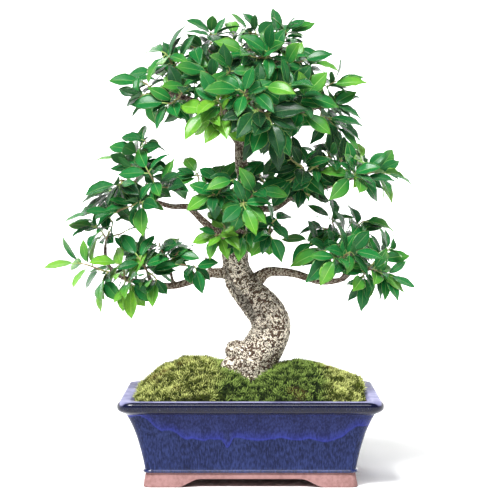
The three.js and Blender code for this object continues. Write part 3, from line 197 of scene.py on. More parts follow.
# Sprays: name, branch, tone, end of the woody twig, and shoots. A shoot has the place of its end,
# its azimuth and elevation there in degrees, its number of leaves and their length.
SPRAYS = [
    ["crown_far_left", "crown_left", "mid", [-100, -20, 417],
     [[-116, -14, 429, 178, 15, 5, 36], [-119, -28, 413, 183, -14, 4, 34]]],
    ["crown_left_front", "crown_left", "mid", [-76, -38, 410],
     [[-88, -50, 405, 186, 16, 5, 38], [-69, -52, 426, 190, 25, 5, 32]]],
    ["crown_left_high", "crown_left_high", "mid", [-75, 12, 445],
     [[-82, 2, 445, 150, 35, 5, 34], [-100, 24, 433, 170, 15, 5, 34], [-102, 30, 413, 175, 0, 4, 34]]],
    ["crown_top_left", "crown_top_left", "mid", [-46, 4, 465],
     [[-40, 6, 478, 170, 30, 5, 34], [-60, 14, 465, 175, 20, 5, 32]]],
    ["crown_top", "trunk", "mid", [-3, 4, 460],
     [[-18, 0, 478, 100, 72, 5, 34], [6, 0, 482, 120, 65, 5, 34], [-9, 42, 471, 110, 60, 5, 34],
      [17, 40, 468, 60, 50, 5, 34]]],
    ["crown_top_right", "crown_top_right", "mid", [32, 5, 463],
     [[28, 4, 480, 85, 78, 4, 32], [40, 0, 482, 10, 35, 5, 34], [50, -8, 465, 5, 8, 4, 32]]],
    ["crown_right_high", "crown_right_high", "mid", [60, -8, 434],
     [[66, -10, 449, 355, 8, 4, 34], [86, -14, 425, 352, 20, 5, 38], [85, -4, 408, 10, 42, 5, 36]]],
    ["crown_right_low", "crown_right", "mid", [75, -22, 399],
     [[86, -22, 389, 345, -10, 5, 38], [77, -32, 384, 325, -48, 5, 36]]],
    ["crown_front_low", "crown_front", "dark", [12, -80, 394],
     [[20, -95, 386, 300, -38, 6, 42], [6, -98, 396, 240, -20, 4, 40]]],
    ["crown_front_left", "crown_front_left", "young", [-30, -74, 390],
     [[-26, -90, 384, 255, -50, 5, 34], [-45, -84, 396, 212, -32, 6, 38],
      [-36, -92, 407, 230, -5, 4, 34]]],
    ["crown_front_middle", "crown_front", "mid", [-7, -76, 405],
     [[-11, -94, 417, 205, 18, 5, 38], [14, -86, 421, 330, 15, 5, 36]]],
    ["crown_front_high_left", "crown_top_left", "mid", [-39, -48, 426],
     [[-47, -68, 437, 215, 25, 5, 34], [-22, -72, 441, 250, 40, 5, 34]]],
    ["crown_front_high", "crown_top_right", "mid", [17, -36, 450],
     [[19, -56, 460, 270, 50, 5, 34], [-5, -56, 458, 200, 45, 5, 34], [38, -60, 445, 290, 35, 5, 34],
      [55, -44, 450, 345, 30, 4, 32]]],
    ["crown_front_right", "crown_front_right", "mid", [40, -54, 411],
     [[40, -74, 424, 310, 25, 5, 34], [59, -60, 411, 345, 5, 5, 34], [54, -70, 394, 330, -25, 5, 36]]],
    ["crown_back_left", "crown_back_left", "dark", [-59, 68, 420],
     [[-73, 78, 425, 170, 20, 5, 36], [-50, 84, 441, 130, 40, 5, 36], [-66, 82, 405, 200, -10, 4, 36]]],
    ["crown_back", "crown_back", "dark", [-12, 80, 420],
     [[-21, 86, 439, 110, 50, 5, 36], [2, 100, 430, 80, 20, 5, 36], [-14, 104, 407, 100, -20, 4, 36]]],
    ["crown_back_right", "crown_back_right", "dark", [44, 66, 422],
     [[58, 70, 429, 20, 30, 5, 36], [36, 84, 441, 70, 45, 5, 36], [51, 82, 407, 40, -10, 4, 36]]],
    ["left_high_tip", "left_high", "dark", [-137, -18, 323],
     [[-141, -28, 319, 178, 8, 4, 38], [-148, -10, 312, 192, -22, 5, 42]]],
    ["left_high_top", "left_high", "mid", [-122, -10, 328],
     [[-124, -8, 354, 165, 30, 6, 34], [-140, 4, 347, 165, 20, 5, 32]]],
    ["left_high_middle", "left_high", "mid", [-102, -26, 313],
     [[-110, -36, 334, 130, 45, 5, 34], [-84, -38, 319, 60, 62, 5, 40]]],
    ["left_high_low", "left_high", "mid", [-121, -30, 299],
     [[-115, -44, 298, 260, -60, 5, 34], [-138, -30, 293, 182, -4, 6, 34]]],
    ["left_high_back", "left_high", "dark", [-115, 14, 316],
     [[-113, 30, 336, 150, 30, 5, 34], [-131, 32, 305, 190, 0, 5, 34]]],
    ["left_inner", "left_high", "mid", [-54, -32, 311],
     [[-57, -38, 330, 150, 50, 5, 30], [-45, -46, 324, 60, 50, 5, 32]]],
    ["left_low_top", "left_low", "mid", [-157, -6, 257],
     [[-168, -8, 273, 160, 25, 6, 32], [-150, -18, 280, 130, 50, 5, 30], [-136, -8, 268, 20, 40, 5, 28]]],
    ["left_low_far", "left_low", "young", [-152, -20, 224],
     [[-186, -24, 234, 178, 2, 5, 36], [-158, -36, 216, 250, -65, 4, 34]]],
    ["left_low_front", "left_low", "young", [-134, -30, 216],
     [[-127, -46, 211, 275, -62, 5, 34], [-140, -40, 234, 195, 25, 4, 32]]],
    ["left_low_middle", "left_low", "mid", [-110, -28, 224],
     [[-120, -42, 242, 140, 50, 5, 34], [-101, -44, 215, 240, -45, 4, 28]]],
    ["left_low_high", "left_low", "mid", [-87, -16, 232],
     [[-96, -22, 248, 120, 50, 6, 32], [-78, -32, 246, 60, 40, 5, 30]]],
    ["left_low_inner", "left_low", "mid", [-65, -26, 229],
     [[-76, -40, 234, 200, 10, 5, 28], [-59, -40, 230, 300, -50, 5, 28]]],
    ["left_low_back", "left_low", "dark", [-115, 20, 226],
     [[-122, 38, 238, 160, 30, 5, 34], [-91, 36, 236, 60, 30, 5, 32], [-146, 34, 225, 175, 5, 5, 34]]],
    ["centre_high", "front_stem", "mid", [-16, -70, 318],
     [[-17, -82, 325, 265, 45, 7, 32], [-4, -74, 324, 30, 55, 5, 32]]],
    ["centre_left", "front_left_stem", "mid", [-30, -60, 311],
     [[-32, -70, 322, 150, 45, 5, 30], [-41, -76, 308, 205, 0, 5, 30]]],
    ["centre_right", "front_stem", "mid", [-5, -58, 299],
     [[7, -76, 312, 340, 15, 5, 32], [-7, -84, 297, 290, -45, 6, 34]]],
    ["centre_low_right", "front_right_stem", "mid", [21, -54, 273],
     [[25, -62, 281, 45, 35, 4, 32], [21, -66, 265, 330, -45, 4, 30]]],
    ["centre_low", "front_right_stem", "mid", [-1, -46, 264],
     [[-7, -64, 267, 260, -55, 5, 30], [7, -68, 280, 20, 15, 5, 30]]],
    ["centre_low_left", "front_low_stem", "young", [-30, -50, 263],
     [[-37, -64, 265, 215, -25, 5, 30], [-28, -64, 276, 150, 55, 4, 30]]],
    ["right_high_tip", "right_high", "young", [125, -18, 329],
     [[146, -12, 331, 5, 2, 6, 36], [120, -26, 345, 95, 72, 5, 32]]],
    ["right_high_front", "right_high", "mid", [109, -36, 328],
     [[120, -48, 326, 345, -15, 4, 36], [106, -54, 328, 215, -30, 5, 34]]],
    ["right_high_middle", "right_high", "dark", [92, -30, 336],
     [[98, -40, 345, 40, 35, 6, 34], [83, -37, 352, 130, 45, 6, 32]]],
    ["right_high_inner", "right_high", "dark", [57, -34, 326],
     [[53, -50, 339, 160, 30, 6, 38], [72, -50, 339, 30, 15, 5, 34], [42, -58, 324, 215, -10, 5, 36],
      [54, -48, 311, 285, -62, 4, 32]]],
    ["right_high_back", "right_high", "dark", [90, 20, 331],
     [[79, 38, 347, 130, 40, 5, 34], [106, 40, 340, 40, 30, 5, 34], [132, 30, 333, 20, 10, 5, 34]]],
    ["right_low_tip", "right_low", "mid", [124, -32, 227],
     [[137, -36, 238, 12, 22, 7, 34], [136, -46, 226, 342, -20, 6, 34],
      [119, -46, 217, 285, -60, 4, 32]]],
    ["right_low_top", "right_low", "mid", [108, -12, 255],
     [[113, -16, 267, 15, 35, 6, 38], [97, -24, 267, 120, 55, 5, 32]]],
    ["right_low_top_left", "right_low", "mid", [93, -4, 269],
     [[89, -6, 284, 75, 55, 5, 30], [78, -10, 271, 160, 22, 5, 30]]],
    ["right_low_left", "right_low", "mid", [86, -30, 238],
     [[81, -46, 249, 186, 0, 6, 42], [64, -28, 259, 172, 12, 5, 32]]],
    ["right_low_front", "right_low", "mid", [98, -42, 236],
     [[89, -62, 241, 235, -30, 5, 32], [108, -60, 248, 345, 8, 5, 32]]],
    ["right_low_back", "right_low", "dark", [105, 18, 244],
     [[95, 38, 254, 130, 25, 5, 34], [121, 34, 247, 40, 20, 5, 34], [125, 30, 230, 25, -12, 5, 32]]],
    ["back_centre_high", "back_high_stem", "dark", [23, 72, 313],
     [[15, 86, 319, 90, 30, 5, 34], [36, 84, 310, 30, 5, 5, 34]]],
    ["back_centre", "back_stem", "dark", [-25, 70, 297],
     [[-34, 82, 308, 140, 30, 5, 34], [-21, 92, 289, 95, 0, 5, 34]]],
    ["back_centre_low", "back_low_stem", "dark", [-14, 68, 266],
     [[-25, 82, 267, 140, 0, 5, 34], [2, 84, 269, 60, 10, 5, 34]]],
]

# More shoots than the source has: name of the spray, then rows like its own
EXTRA_SHOOTS = {
    "crown_top_left": [[-44, -10, 480, 176, 2, 4, 36], [-64, -14, 468, 150, 30, 4, 38]],
    "crown_top": [[-2, -14, 484, 170, 62, 3, 26]],
    "crown_top_right": [[38, -8, 484, 20, 40, 3, 26]],
    "crown_left_high": [
        [-92, -16, 460, 140, 38, 4, 40], [-74, -18, 458, 120, 50, 4, 34], [-112, -8, 441, 175, 18, 4, 34],
    ],
    "crown_far_left": [[-126, -20, 416, 190, -12, 4, 30]],
    "crown_right_high": [[92, -10, 430, 10, 16, 4, 32], [90, -16, 404, 355, 5, 4, 32]],
    "crown_right_low": [[90, -28, 382, 350, -25, 4, 36]],
    "crown_front_low": [[8, -84, 374, 275, -65, 5, 38], [22, -86, 372, 310, -60, 4, 38]],
    "crown_front_right": [[44, -72, 380, 300, -60, 4, 36]],
    "right_high_inner": [[42, -50, 348, 120, 60, 4, 34], [62, -46, 306, 280, -70, 3, 32]],
    "crown_back": [
        [-8, 62, 446, 70, 55, 4, 34], [-22, 60, 396, 110, -20, 4, 34], [10, 58, 392, 60, -20, 4, 34],
    ],
    "crown_back_left": [[-46, 52, 396, 150, -10, 4, 34], [-40, 52, 446, 120, 50, 4, 34]],
    "crown_back_right": [[38, 50, 396, 40, -10, 4, 34], [26, 50, 448, 60, 55, 4, 34]],
    "back_centre_high": [[10, 60, 330, 100, 50, 4, 34]],
    "back_centre": [[-14, 66, 322, 100, 55, 4, 34]],
    "left_high_top": [[-114, -12, 366, 160, 25, 5, 30]],
    "left_high_low": [[-146, -34, 288, 190, -20, 4, 36]],
    "left_low_top": [[-172, -10, 288, 175, 5, 4, 32]],
    "left_low_high": [[-98, -26, 256, 110, 70, 3, 30]],
    "right_low_top": [[122, -20, 279, 10, 18, 3, 34]],
    "right_low_tip": [[150, -36, 250, 5, 15, 4, 30], [147, -44, 222, 345, -15, 3, 30]],
}
# Openings of the tree's front that no added leaf may shut: left, right, bottom and top
GAPS = [
    [-80, -20, 340, 364], [-142, -58, 262, 290], [34, 106, 206, 222], [-100, -38, 206, 222],
    [34, 84, 276, 294], [24, 48, 230, 264], [100, 140, 298, 313], [50, 78, 366, 384],
    [-150, -112, 392, 404], [-130, -92, 186, 205], [-198, -166, 212, 230], [-95, -74, 370, 386],
]


def paint(red, green, blue):
    """A colour from its three screen values of 0 to 255."""
    return tuple(((value / 255 + 0.055) / 1.055) ** 2.4 for value in (red, green, blue)) + (1.0,)


def placed(point):
    """A point of the drawing, in millimetres, as a place in the frame."""
    return Vector(point) * MILLIMETRE + POT_MIDDLE


def colour_setting(name, description, *screen):
    """A colour that the user can change, given by its screen values."""
    return FloatVectorProperty(
        name=name, description=description, default=paint(*screen), subtype="COLOR", size=4, min=0, max=1)


def number_setting(name, description, default, low, high, unit="NONE"):
    """A number that the user can change, with its least and greatest values."""
    return FloatProperty(name=name, description=description, default=default, min=low, max=high, unit=unit)


def length_setting(name, description, default, low, high):
    """A length in metres that the user can change."""
    return number_setting(name, description, default, low, high, "LENGTH")


def angle_setting(name, description, default, high):
    """An angle that the user can change, from 0 up, given in degrees."""
    return number_setting(name, description, math.radians(default), 0, math.radians(high), "ROTATION")


def count_setting(name, description, default, low, high):
    """A whole number that the user can change."""
    return IntProperty(name=name, description=description, default=default, min=low, max=high)


class Wire:
    """A number that runs from one node to the next, with Python's own operators."""

    def __init__(self, graph, socket):
        self.graph = graph
        self.socket = socket

    def __add__(self, other):
        return self.graph.math("ADD", self, other)

    def __sub__(self, other):
        return self.graph.math("SUBTRACT", self, other)

    def __rsub__(self, other):
        return self.graph.math("SUBTRACT", other, self)

    def __mul__(self, other):
        return self.graph.math("MULTIPLY", self, other)

    def __truediv__(self, other):
        return self.graph.math("DIVIDE", self, other)

    def __rtruediv__(self, other):
        return self.graph.math("DIVIDE", other, self)

    def __abs__(self):
        return self.graph.math("ABSOLUTE", self)

    __radd__ = __add__
    __rmul__ = __mul__


class Graph:
    """Adds nodes to the tree of a material or of a Geometry Nodes group."""

    def __init__(self, tree):
        self.tree = tree

    def node(self, kind, sockets=None, **settings):
        """A new node, with its settings made first, then the values or links of its sockets."""
        made = self.tree.nodes.new(kind)
        for name, value in settings.items():
            setattr(made, name, value)
        for name, value in (sockets or {}).items():
            self.feed(made.inputs[name], value)
        return made

    def first(self, kind, sockets=None, **settings):
        """The first output of a new node."""
        return self.node(kind, sockets, **settings).outputs[0]

    def feed(self, socket, value):
        """Links a wire or a socket to a socket, or gives it a plain value."""
        if isinstance(value, Wire):
            value = value.socket
        if isinstance(value, bpy.types.NodeSocket):
            self.tree.links.new(value, socket)
        else:
            socket.default_value = value

    def math(self, operation, *values):
        return Wire(self, self.first("ShaderNodeMath", dict(enumerate(values)), operation=operation))

    def vector_math(self, operation, *values):
        return self.first("ShaderNodeVectorMath", dict(enumerate(values)), operation=operation)

    def stretched(self, vector, x, y, z):
        """A vector with each of its axes scaled."""
        return self.vector_math("MULTIPLY", vector, (x, y, z))

    def split(self, vector):
        made = self.node("ShaderNodeSeparateXYZ", {0: vector})
        return [Wire(self, output) for output in made.outputs]

    def mixed(self, factor, first, second):
        """A colour between two others."""
        return self.node("ShaderNodeMix", {0: factor, 6: first, 7: second}, data_type="RGBA").outputs[2]

    def ease(self, value, low, high, start=0.0, end=1.0):
        """A value carried from one range to another, held at its ends."""
        sockets = {0: value, 1: low, 2: high, 3: start, 4: end}
        return Wire(self, self.first("ShaderNodeMapRange", sockets, interpolation_type="SMOOTHSTEP"))

    def fade(self, value, low, high, start=1.0):
        """A mask that falls to 0 as a value grows."""
        return self.ease(value, low, high, start, 0.0)

    def noise(self, vector, scale, detail=2.0, roughness=0.5, distortion=0.0):
        sockets = {"Vector": vector, "Scale": scale, "Detail": detail, "Roughness": roughness}
        return Wire(self, self.first("ShaderNodeTexNoise", {**sockets, "Distortion": distortion}))

    def painted(self, geometry, material):
        """Geometry in a material."""
        return self.first("GeometryNodeSetMaterial", {"Geometry": geometry, "Material": material})

    def joined(self, *parts):
        """Several geometries as one, in their order."""
        join = self.node("GeometryNodeJoinGeometry")
        for part in reversed(parts):
            self.tree.links.new(part, join.inputs[0])
        return join.outputs[0]


class Finish(Graph):
    """A material with one Principled shader."""

    def __init__(self, name):
        self.material = bpy.data.materials.new(name)
        self.material.use_nodes = True
        super().__init__(self.material.node_tree)
        self.shader = self.tree.nodes["Principled BSDF"]
        coordinates = self.node("ShaderNodeTexCoord")
        self.place = coordinates.outputs["Object"]
        self.map = coordinates.outputs["UV"]

    def from_pot(self):
        """The place as seen from the middle of the pot: x, y and z in metres."""
        return self.split(self.vector_math("SUBTRACT", self.place, tuple(POT_MIDDLE)))

    def attribute(self, name, output):
        return self.node("ShaderNodeAttribute", attribute_name=name).outputs[output]

    def field(self, name):
        """A number that the mesh's points hold under a name."""
        return Wire(self, self.attribute(name, "Fac"))

    def flakes(self, vector, scale):
        """Cells of a mosaic: the distance to the nearest edge, and a number of each cell's own."""
        sockets = {"Vector": vector, "Scale": scale}
        edge = self.node("ShaderNodeTexVoronoi", sockets, feature="DISTANCE_TO_EDGE")
        cell = self.node("ShaderNodeTexVoronoi", sockets, feature="F1")
        return Wire(self, edge.outputs["Distance"]), self.split(cell.outputs["Color"])[0]

    def surface(self, **sockets):
        """Sets the shader's sockets, named with underscores for spaces."""
        for name, value in sockets.items():
            self.feed(self.shader.inputs[name.replace("_", " ")], value)

    def relief(self, height, distance, strength=1.0):
        """Raises the surface by a height, which a distance in metres scales."""
        sockets = {"Strength": strength, "Distance": distance, "Height": height}
        self.surface(Normal=self.first("ShaderNodeBump", sockets))


def new_object(name, data):
    """An object in the scene with a mesh, a light or a camera."""
    made = bpy.data.objects.new(name, data)
    bpy.context.scene.collection.objects.link(made)
    return made


def mesh_of(name, points, faces):
    mesh = bpy.data.meshes.new(name)
    mesh.from_pydata(points, [], faces)
    mesh.update()
    return mesh


def store(mesh, name, values, kind="FLOAT"):
    """Gives each of the mesh's points a value that node trees read by name."""
    field = "vector" if kind == "FLOAT_VECTOR" else "value"
    mesh.attributes.new(name, kind, "POINT").data.foreach_set(field, values)


def shade_smooth(mesh):
    mesh.polygons.foreach_set("use_smooth", [True] * len(mesh.polygons))


def baked(working):
    """The working object's mesh as its modifiers leave it, with the working object removed."""
    bpy.context.view_layer.update()
    evaluated = working.evaluated_get(bpy.context.evaluated_depsgraph_get())
    mesh = bpy.data.meshes.new_from_object(evaluated)
    bpy.data.objects.remove(working)
    return mesh


def finished(name, mesh, slot, *nodes):
    """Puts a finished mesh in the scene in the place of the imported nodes."""
    mesh.name = name
    piece = new_object(name, mesh)
    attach(piece, BODY)
    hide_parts(*nodes)


def with_modifier(mesh, kind, **settings):
    """The mesh after one modifier."""
    working = new_object("working", mesh)
    modifier = working.modifiers.new("step", kind)
    for name, value in settings.items():
        setattr(modifier, name, value)
    return baked(working)


def grown_by(mesh, group, inputs):
    """The mesh after a Geometry Nodes group, with its inputs given by name."""
    working = new_object("working", mesh)
    modifier = working.modifiers.new("grow", "NODES")
    modifier.node_group = group
    for item in group.interface.items_tree:
        if item.item_type == "SOCKET" and item.in_out == "INPUT" and item.name in inputs:
            modifier[item.identifier] = inputs[item.name]
    return baked(working)


def new_group(name, sockets):
    """A Geometry Nodes group with a mesh in, a mesh out and the named inputs."""
    tree = bpy.data.node_groups.new(name, "GeometryNodeTree")
    tree.interface.new_socket("Geometry", in_out="INPUT", socket_type="NodeSocketGeometry")
    for label, kind in sockets.items():
        tree.interface.new_socket(label, in_out="INPUT", socket_type=kind)
    tree.interface.new_socket("Geometry", in_out="OUTPUT", socket_type="NodeSocketGeometry")
    graph = Graph(tree)
    return graph, graph.node("NodeGroupInput").outputs


def pick(span, draw):
    """A value out of a span, which is its least value and how much more a draw of 1 gives."""
    least, more = span
    return least + more * draw


def smooth_rows(rows, steps):
    """Rows of numbers with points added between them on a flowing curve."""
    rows = [np.array(row, float) for row in rows]
    before = 2 * rows[0] - rows[1]
    after = 2 * rows[-1] - rows[-2]
    padded = [before, *rows, after]
    flowing = []
    for i in range(1, len(padded) - 2):
        a, b, c, d = padded[i - 1:i + 3]
        for step in range(steps):
            t = step / steps
            bend = (2 * a - 5 * b + 4 * c - d) * t ** 2
            twist = (3 * b - a - 3 * c + d) * t ** 3
            flowing.append(0.5 * (2 * b + (c - a) * t + bend + twist))
    flowing.append(rows[-1])
    return flowing


# Pot

def pot_ring(inset, height):
    """Points round the pot at a height, on a rectangle with round corners that lies inside the rim."""
    radius = max(RIM_CORNER - inset * CORNER_TAPER, SMALLEST_CORNER)
    reach_x = RIM_LENGTH / 2 - inset - radius
    reach_y = RIM_WIDTH / 2 - inset - radius
    corners = [(1, 1), (-1, 1), (-1, -1), (1, -1)]
    ring = []
    for quarter, (side_x, side_y) in enumerate(corners):
        for step in range(CORNER_STEPS + 1):
            angle = math.radians(90 * (quarter + step / CORNER_STEPS))
            x = side_x * reach_x + radius * math.cos(angle)
            y = side_y * reach_y + radius * math.sin(angle)
            ring.append(Vector((x, y, height)))
        next_x, next_y = corners[(quarter + 1) % 4]
        x = next_x * reach_x + radius * math.cos(angle)
        y = next_y * reach_y + radius * math.sin(angle)
        start = ring[-1]
        end = Vector((x, y, height))
        steps = LONG_SIDE_STEPS if side_x != next_x else SHORT_SIDE_STEPS
        ring.extend(start.lerp(end, step / steps) for step in range(1, steps))
    return ring


def loft_mesh(name, rings):
    """A closed skin over rings of equally many points."""
    sides = len(rings[0])
    points = [point for ring in rings for point in ring]
    faces = []
    for i in range(len(rings) - 1):
        for j in range(sides):
            near = i * sides + j
            far = i * sides + (j + 1) % sides
            faces.append((near, far, far + sides, near + sides))
    last = (len(rings) - 1) * sides
    faces.append(tuple(reversed(range(sides))))
    faces.append(tuple(range(last, last + sides)))
    return mesh_of(name, points, faces)


def arch_cutter(top_length, foot_length, reach, along_x):
    """A block that cuts the opening between two feet, with eased ends."""
    top = top_length / 2
    foot = foot_length / 2
    start = foot - ARCH_SETBACK
    outline = [(foot, -1.0)]
    for step in range(ARCH_STEPS + 1):
        share = step / ARCH_STEPS
        eased = share * share * (3 - 2 * share)
        outline.append((start + (top - start) * share, ARCH_SILL + (ARCH_HEIGHT - ARCH_SILL) * eased))
    outline += [(-x, z) for x, z in reversed(outline)]
    rings = []
    for across in (-reach, reach):
        if along_x:
            rings.append([placed((across, x, z)) for x, z in outline])
        else:
            rings.append([placed((x, across, z)) for x, z in outline])
    return loft_mesh("arch", rings)


def drain_cutter(x):
    """A round bar that cuts a drain hole."""
    radius = DRAIN_DIAMETER / 2
    turns = [2 * math.pi * j / DRAIN_SIDES for j in range(DRAIN_SIDES)]
    rings = []
    for height in (0, 2 * DRAIN_DIAMETER):
        rings.append([placed((x + radius * math.cos(t), radius * math.sin(t), height)) for t in turns])
    return loft_mesh("drain", rings)


def outward(mesh):
    """Turns all of a closed mesh's faces outwards."""
    work = bmesh.new()
    work.from_mesh(mesh)
    bmesh.ops.recalc_face_normals(work, faces=work.faces)
    work.to_mesh(mesh)
    work.free()
    return mesh


def cut(mesh, cutter_mesh):
    """The mesh with another one taken out of it."""
    cutter = new_object("cutter", outward(cutter_mesh))
    result = with_modifier(mesh, "BOOLEAN", operation="DIFFERENCE", solver="EXACT", object=cutter)
    bpy.data.objects.remove(cutter)
    return result


# The glaze, in millimetres: heights are over the table, spans run across or out from the middle, and
# insets are from the rim's edge
FOOT_TOP = 15.5
BEAD_HEIGHT = 17.8
LIP_BOTTOM = 80
RIM_TOP = 89.5
INNER_CLAY_TOP = 88
# The reflection painted on the rim's top lies further in than this inset
RIM_REFLECTION_INSET = 3.6
CLAY_INSET = 17
DRIP_HALF_WIDTH = 7
DRIP_LENGTH = 9
LEFT_RISE = 11
LEFT_RISE_SPAN = (-88, -66)
CORNER_RISE = 15
CORNER_SPAN_X = (92, 116)
CORNER_SPAN_Y = (70, 90)
WANDER = 14
GLOW_HEIGHT = 12


def glaze_finish(settings):
    """Blue glaze with fine streaks over dark blue, a pale reflection painted on the rim's top, and a bare
    clay foot.
    """
    finish = Finish("Blue glaze and bare clay")
    x, y, z = finish.from_pot()
    across = x / MILLIMETRE
    height = z / MILLIMETRE
    place = finish.place
    streak = finish.noise(finish.stretched(place, 1, 1, 0.16), 640, 3, 0.6)
    wide_streak = finish.noise(finish.stretched(place, 1, 1, 0.1), 90, 2, 0.5)
    cloud = finish.noise(place, 35, 3, 0.6)
    wander = finish.noise(finish.stretched(place, 1, 1, 0.05), 45, 2, 0.5) - 0.5
    from_middle_x = abs(x) / MILLIMETRE
    from_middle_y = abs(y) / MILLIMETRE

    corner = finish.ease(from_middle_x, *CORNER_SPAN_X) * finish.ease(from_middle_y, *CORNER_SPAN_Y)
    left_rise = finish.fade(across, *LEFT_RISE_SPAN, LEFT_RISE)
    drip = finish.fade(abs(across - settings.drip_place), 0, DRIP_HALF_WIDTH, DRIP_LENGTH)
    run_height = settings.run_height + WANDER * wander + CORNER_RISE * corner + left_rise - drip
    below = finish.fade(height, run_height - 1.2, run_height + 2.2)
    run_line = finish.fade(abs(height - run_height - 1), 0.0, 1.8)
    glow = finish.fade(height, run_height, run_height + GLOW_HEIGHT, 0.4)

    streaked = finish.ease(streak * 0.7 + wide_streak * 0.3, 0.38, 0.66)
    upper = finish.mixed(streaked, settings.deep_blue, settings.blue)
    upper = finish.mixed(glow * finish.ease(streak, 0.35, 0.6, 0.5, 1.0), upper, settings.run_line)
    clouded = finish.ease(streak * 0.75 + cloud * 0.25, 0.36, 0.66)
    body = finish.mixed(below, upper, finish.mixed(clouded, settings.navy, settings.slate))
    body = finish.mixed(run_line * (0.1 + 0.6 * wide_streak), body, settings.run_line)
    lip = finish.ease(height, LIP_BOTTOM - 2, LIP_BOTTOM + 2)
    body = finish.mixed(lip * 0.9, body, settings.lip)
    bead = finish.fade(abs(height - BEAD_HEIGHT), 1.6, 2.4)

    wall = finish.math("MAXIMUM", from_middle_x - RIM_LENGTH / 2, from_middle_y - RIM_WIDTH / 2)
    rim_edge = wall + 1.5 * (wide_streak - 0.5)
    # Painted reflection: the rim's top is painted pale lavender grey with grey clouds, as if it mirrored the
    # white room; it is rougher there and has no coat
    top = finish.fade(rim_edge, -1 - RIM_REFLECTION_INSET, 1 - RIM_REFLECTION_INSET)
    top = top * finish.ease(height, RIM_TOP - 1.5, RIM_TOP + 1.5)
    rim = finish.mixed(finish.ease(cloud, 0.35, 0.7), settings.rim_reflection_grey, settings.rim_reflection_pale)
    body = finish.mixed(top, body, rim)

    grain = finish.noise(place, 900, 4, 0.7)
    fleck = finish.noise(place, 260, 3, 0.6)
    clay = finish.mixed(finish.ease(fleck * 0.6 + cloud * 0.4, 0.3, 0.66), settings.clay_dark, settings.clay)
    foot = finish.fade(height + 0.9 * (wide_streak - 0.5), FOOT_TOP - 0.3, FOOT_TOP + 0.2)
    inner = finish.fade(wall, -0.5 - CLAY_INSET, 0.5 - CLAY_INSET)
    inner = inner * finish.ease(height, LIP_BOTTOM, INNER_CLAY_TOP)
    bare = finish.math("MAXIMUM", foot, inner)
    finish.surface(
        Base_Color=finish.mixed(bare, body, clay),
        Roughness=finish.ease(bare, 0, 1, 0.2, 0.8) + 0.35 * top + 0.06 * cloud,
        Coat_Weight=(0.04 + 0.4 * lip + 0.5 * bead) * (1 - bare) * (1 - top),
        Coat_Roughness=0.03,
        Specular_IOR_Level=0.08,
    )
    finish.relief(streak * 0.12 + wide_streak * 0.5 + cloud * 0.4 + grain * bare * 0.5, 0.0006, 0.6)
    return finish.material


class PotSettings(bpy.types.PropertyGroup):
    blue: colour_setting("Blue", "Streaks of the upper glaze", 42, 50, 98)
    deep_blue: colour_setting("Deep blue", "Upper glaze between its streaks", 22, 27, 62)
    navy: colour_setting("Navy", "Lower glaze and lip", 16, 22, 50)
    lip: colour_setting("Lip", "Glaze of the rolled lip", 6, 8, 28)
    slate: colour_setting("Slate", "Clouds in the lower glaze", 40, 50, 94)
    run_line: colour_setting("Run line", "Bright line where the upper glaze ran out", 46, 54, 146)
    # Painted reflection: the next two colours stand in for the white room mirrored on the rim's top
    rim_reflection_grey: colour_setting("Rim grey", "Clouds on the rim's top", 96, 96, 130)
    rim_reflection_pale: colour_setting("Pale rim", "Rim's top", 140, 140, 172)
    clay: colour_setting("Clay", "Bare clay of the foot", 144, 110, 108)
    clay_dark: colour_setting("Dark clay", "Flecks in the bare clay", 120, 88, 85)
    run_height: number_setting(
        "Run height", "Where the upper glaze ran out, in millimetres over the table", 52, 20, 80)
    drip_place: number_setting(
        "Drip place", "Where the upper glaze drips, in millimetres from the middle", -24, -110, 110)
    edge_width: length_setting("Edge width", "Rounding of the cut edges", 0.0006, 0.0001, 0.002)


class BONSAI_OT_pot(bpy.types.Operator):
    """Throws the glazed pot with its arched feet and drain holes"""

    bl_idname = "bonsai.pot"
    bl_label = "Pot"

    def execute(self, context):
        settings = context.scene.bonsai_pot
        profile = FOOT_PROFILE + [list(row) for row in smooth_rows(GLAZED_PROFILE, 3)]
        rings = [[placed(point) for point in pot_ring(inset, height)] for inset, height in profile]
        mesh = outward(loft_mesh("pot", rings))
        mesh = cut(mesh, arch_cutter(ARCH_TOP_LENGTH, ARCH_FOOT_LENGTH, RIM_WIDTH / 2, False))
        mesh = cut(mesh, arch_cutter(SIDE_ARCH_TOP, SIDE_ARCH_FOOT, RIM_LENGTH / 2, True))
        for side in (-1, 1):
            mesh = cut(mesh, drain_cutter(side * DRAIN_SPACING / 2))
        mesh = with_modifier(
            mesh, "BEVEL", width=settings.edge_width, segments=2, limit_method="ANGLE",
            angle_limit=math.radians(SHARP_ANGLE), harden_normals=False,
        )
        shade_smooth(mesh)
        mesh.materials.clear()
        mesh.materials.append(glaze_finish(settings))
        finished("glazed_pot", mesh, "glaze", "pot")
        return {"FINISHED"}


# Soil and drainage screens

# How fast the weave of the screens repeats, in radians to a metre
SCREEN_THREADS = 750


def soil_finish(settings):
    """Dark soil of pale and dark grains."""
    finish = Finish("Dark grainy soil")
    grains = finish.node("ShaderNodeTexVoronoi", {"Vector": finish.place, "Scale": 420})
    tone = Wire(finish, finish.first("ShaderNodeSeparateColor", {0: grains.outputs["Color"]}))
    cloud = finish.noise(finish.place, 70, 3, 0.6)
    pale = finish.ease(tone * 0.6 + cloud * 0.4, 0.3, 0.75)
    colour = finish.mixed(pale, settings.soil_dark, settings.soil)
    finish.surface(Base_Color=colour, Roughness=0.85 + 0.1 * cloud)
    finish.relief(Wire(finish, grains.outputs["Distance"]) * -1 + cloud * 0.4, 0.0012)
    return finish.material


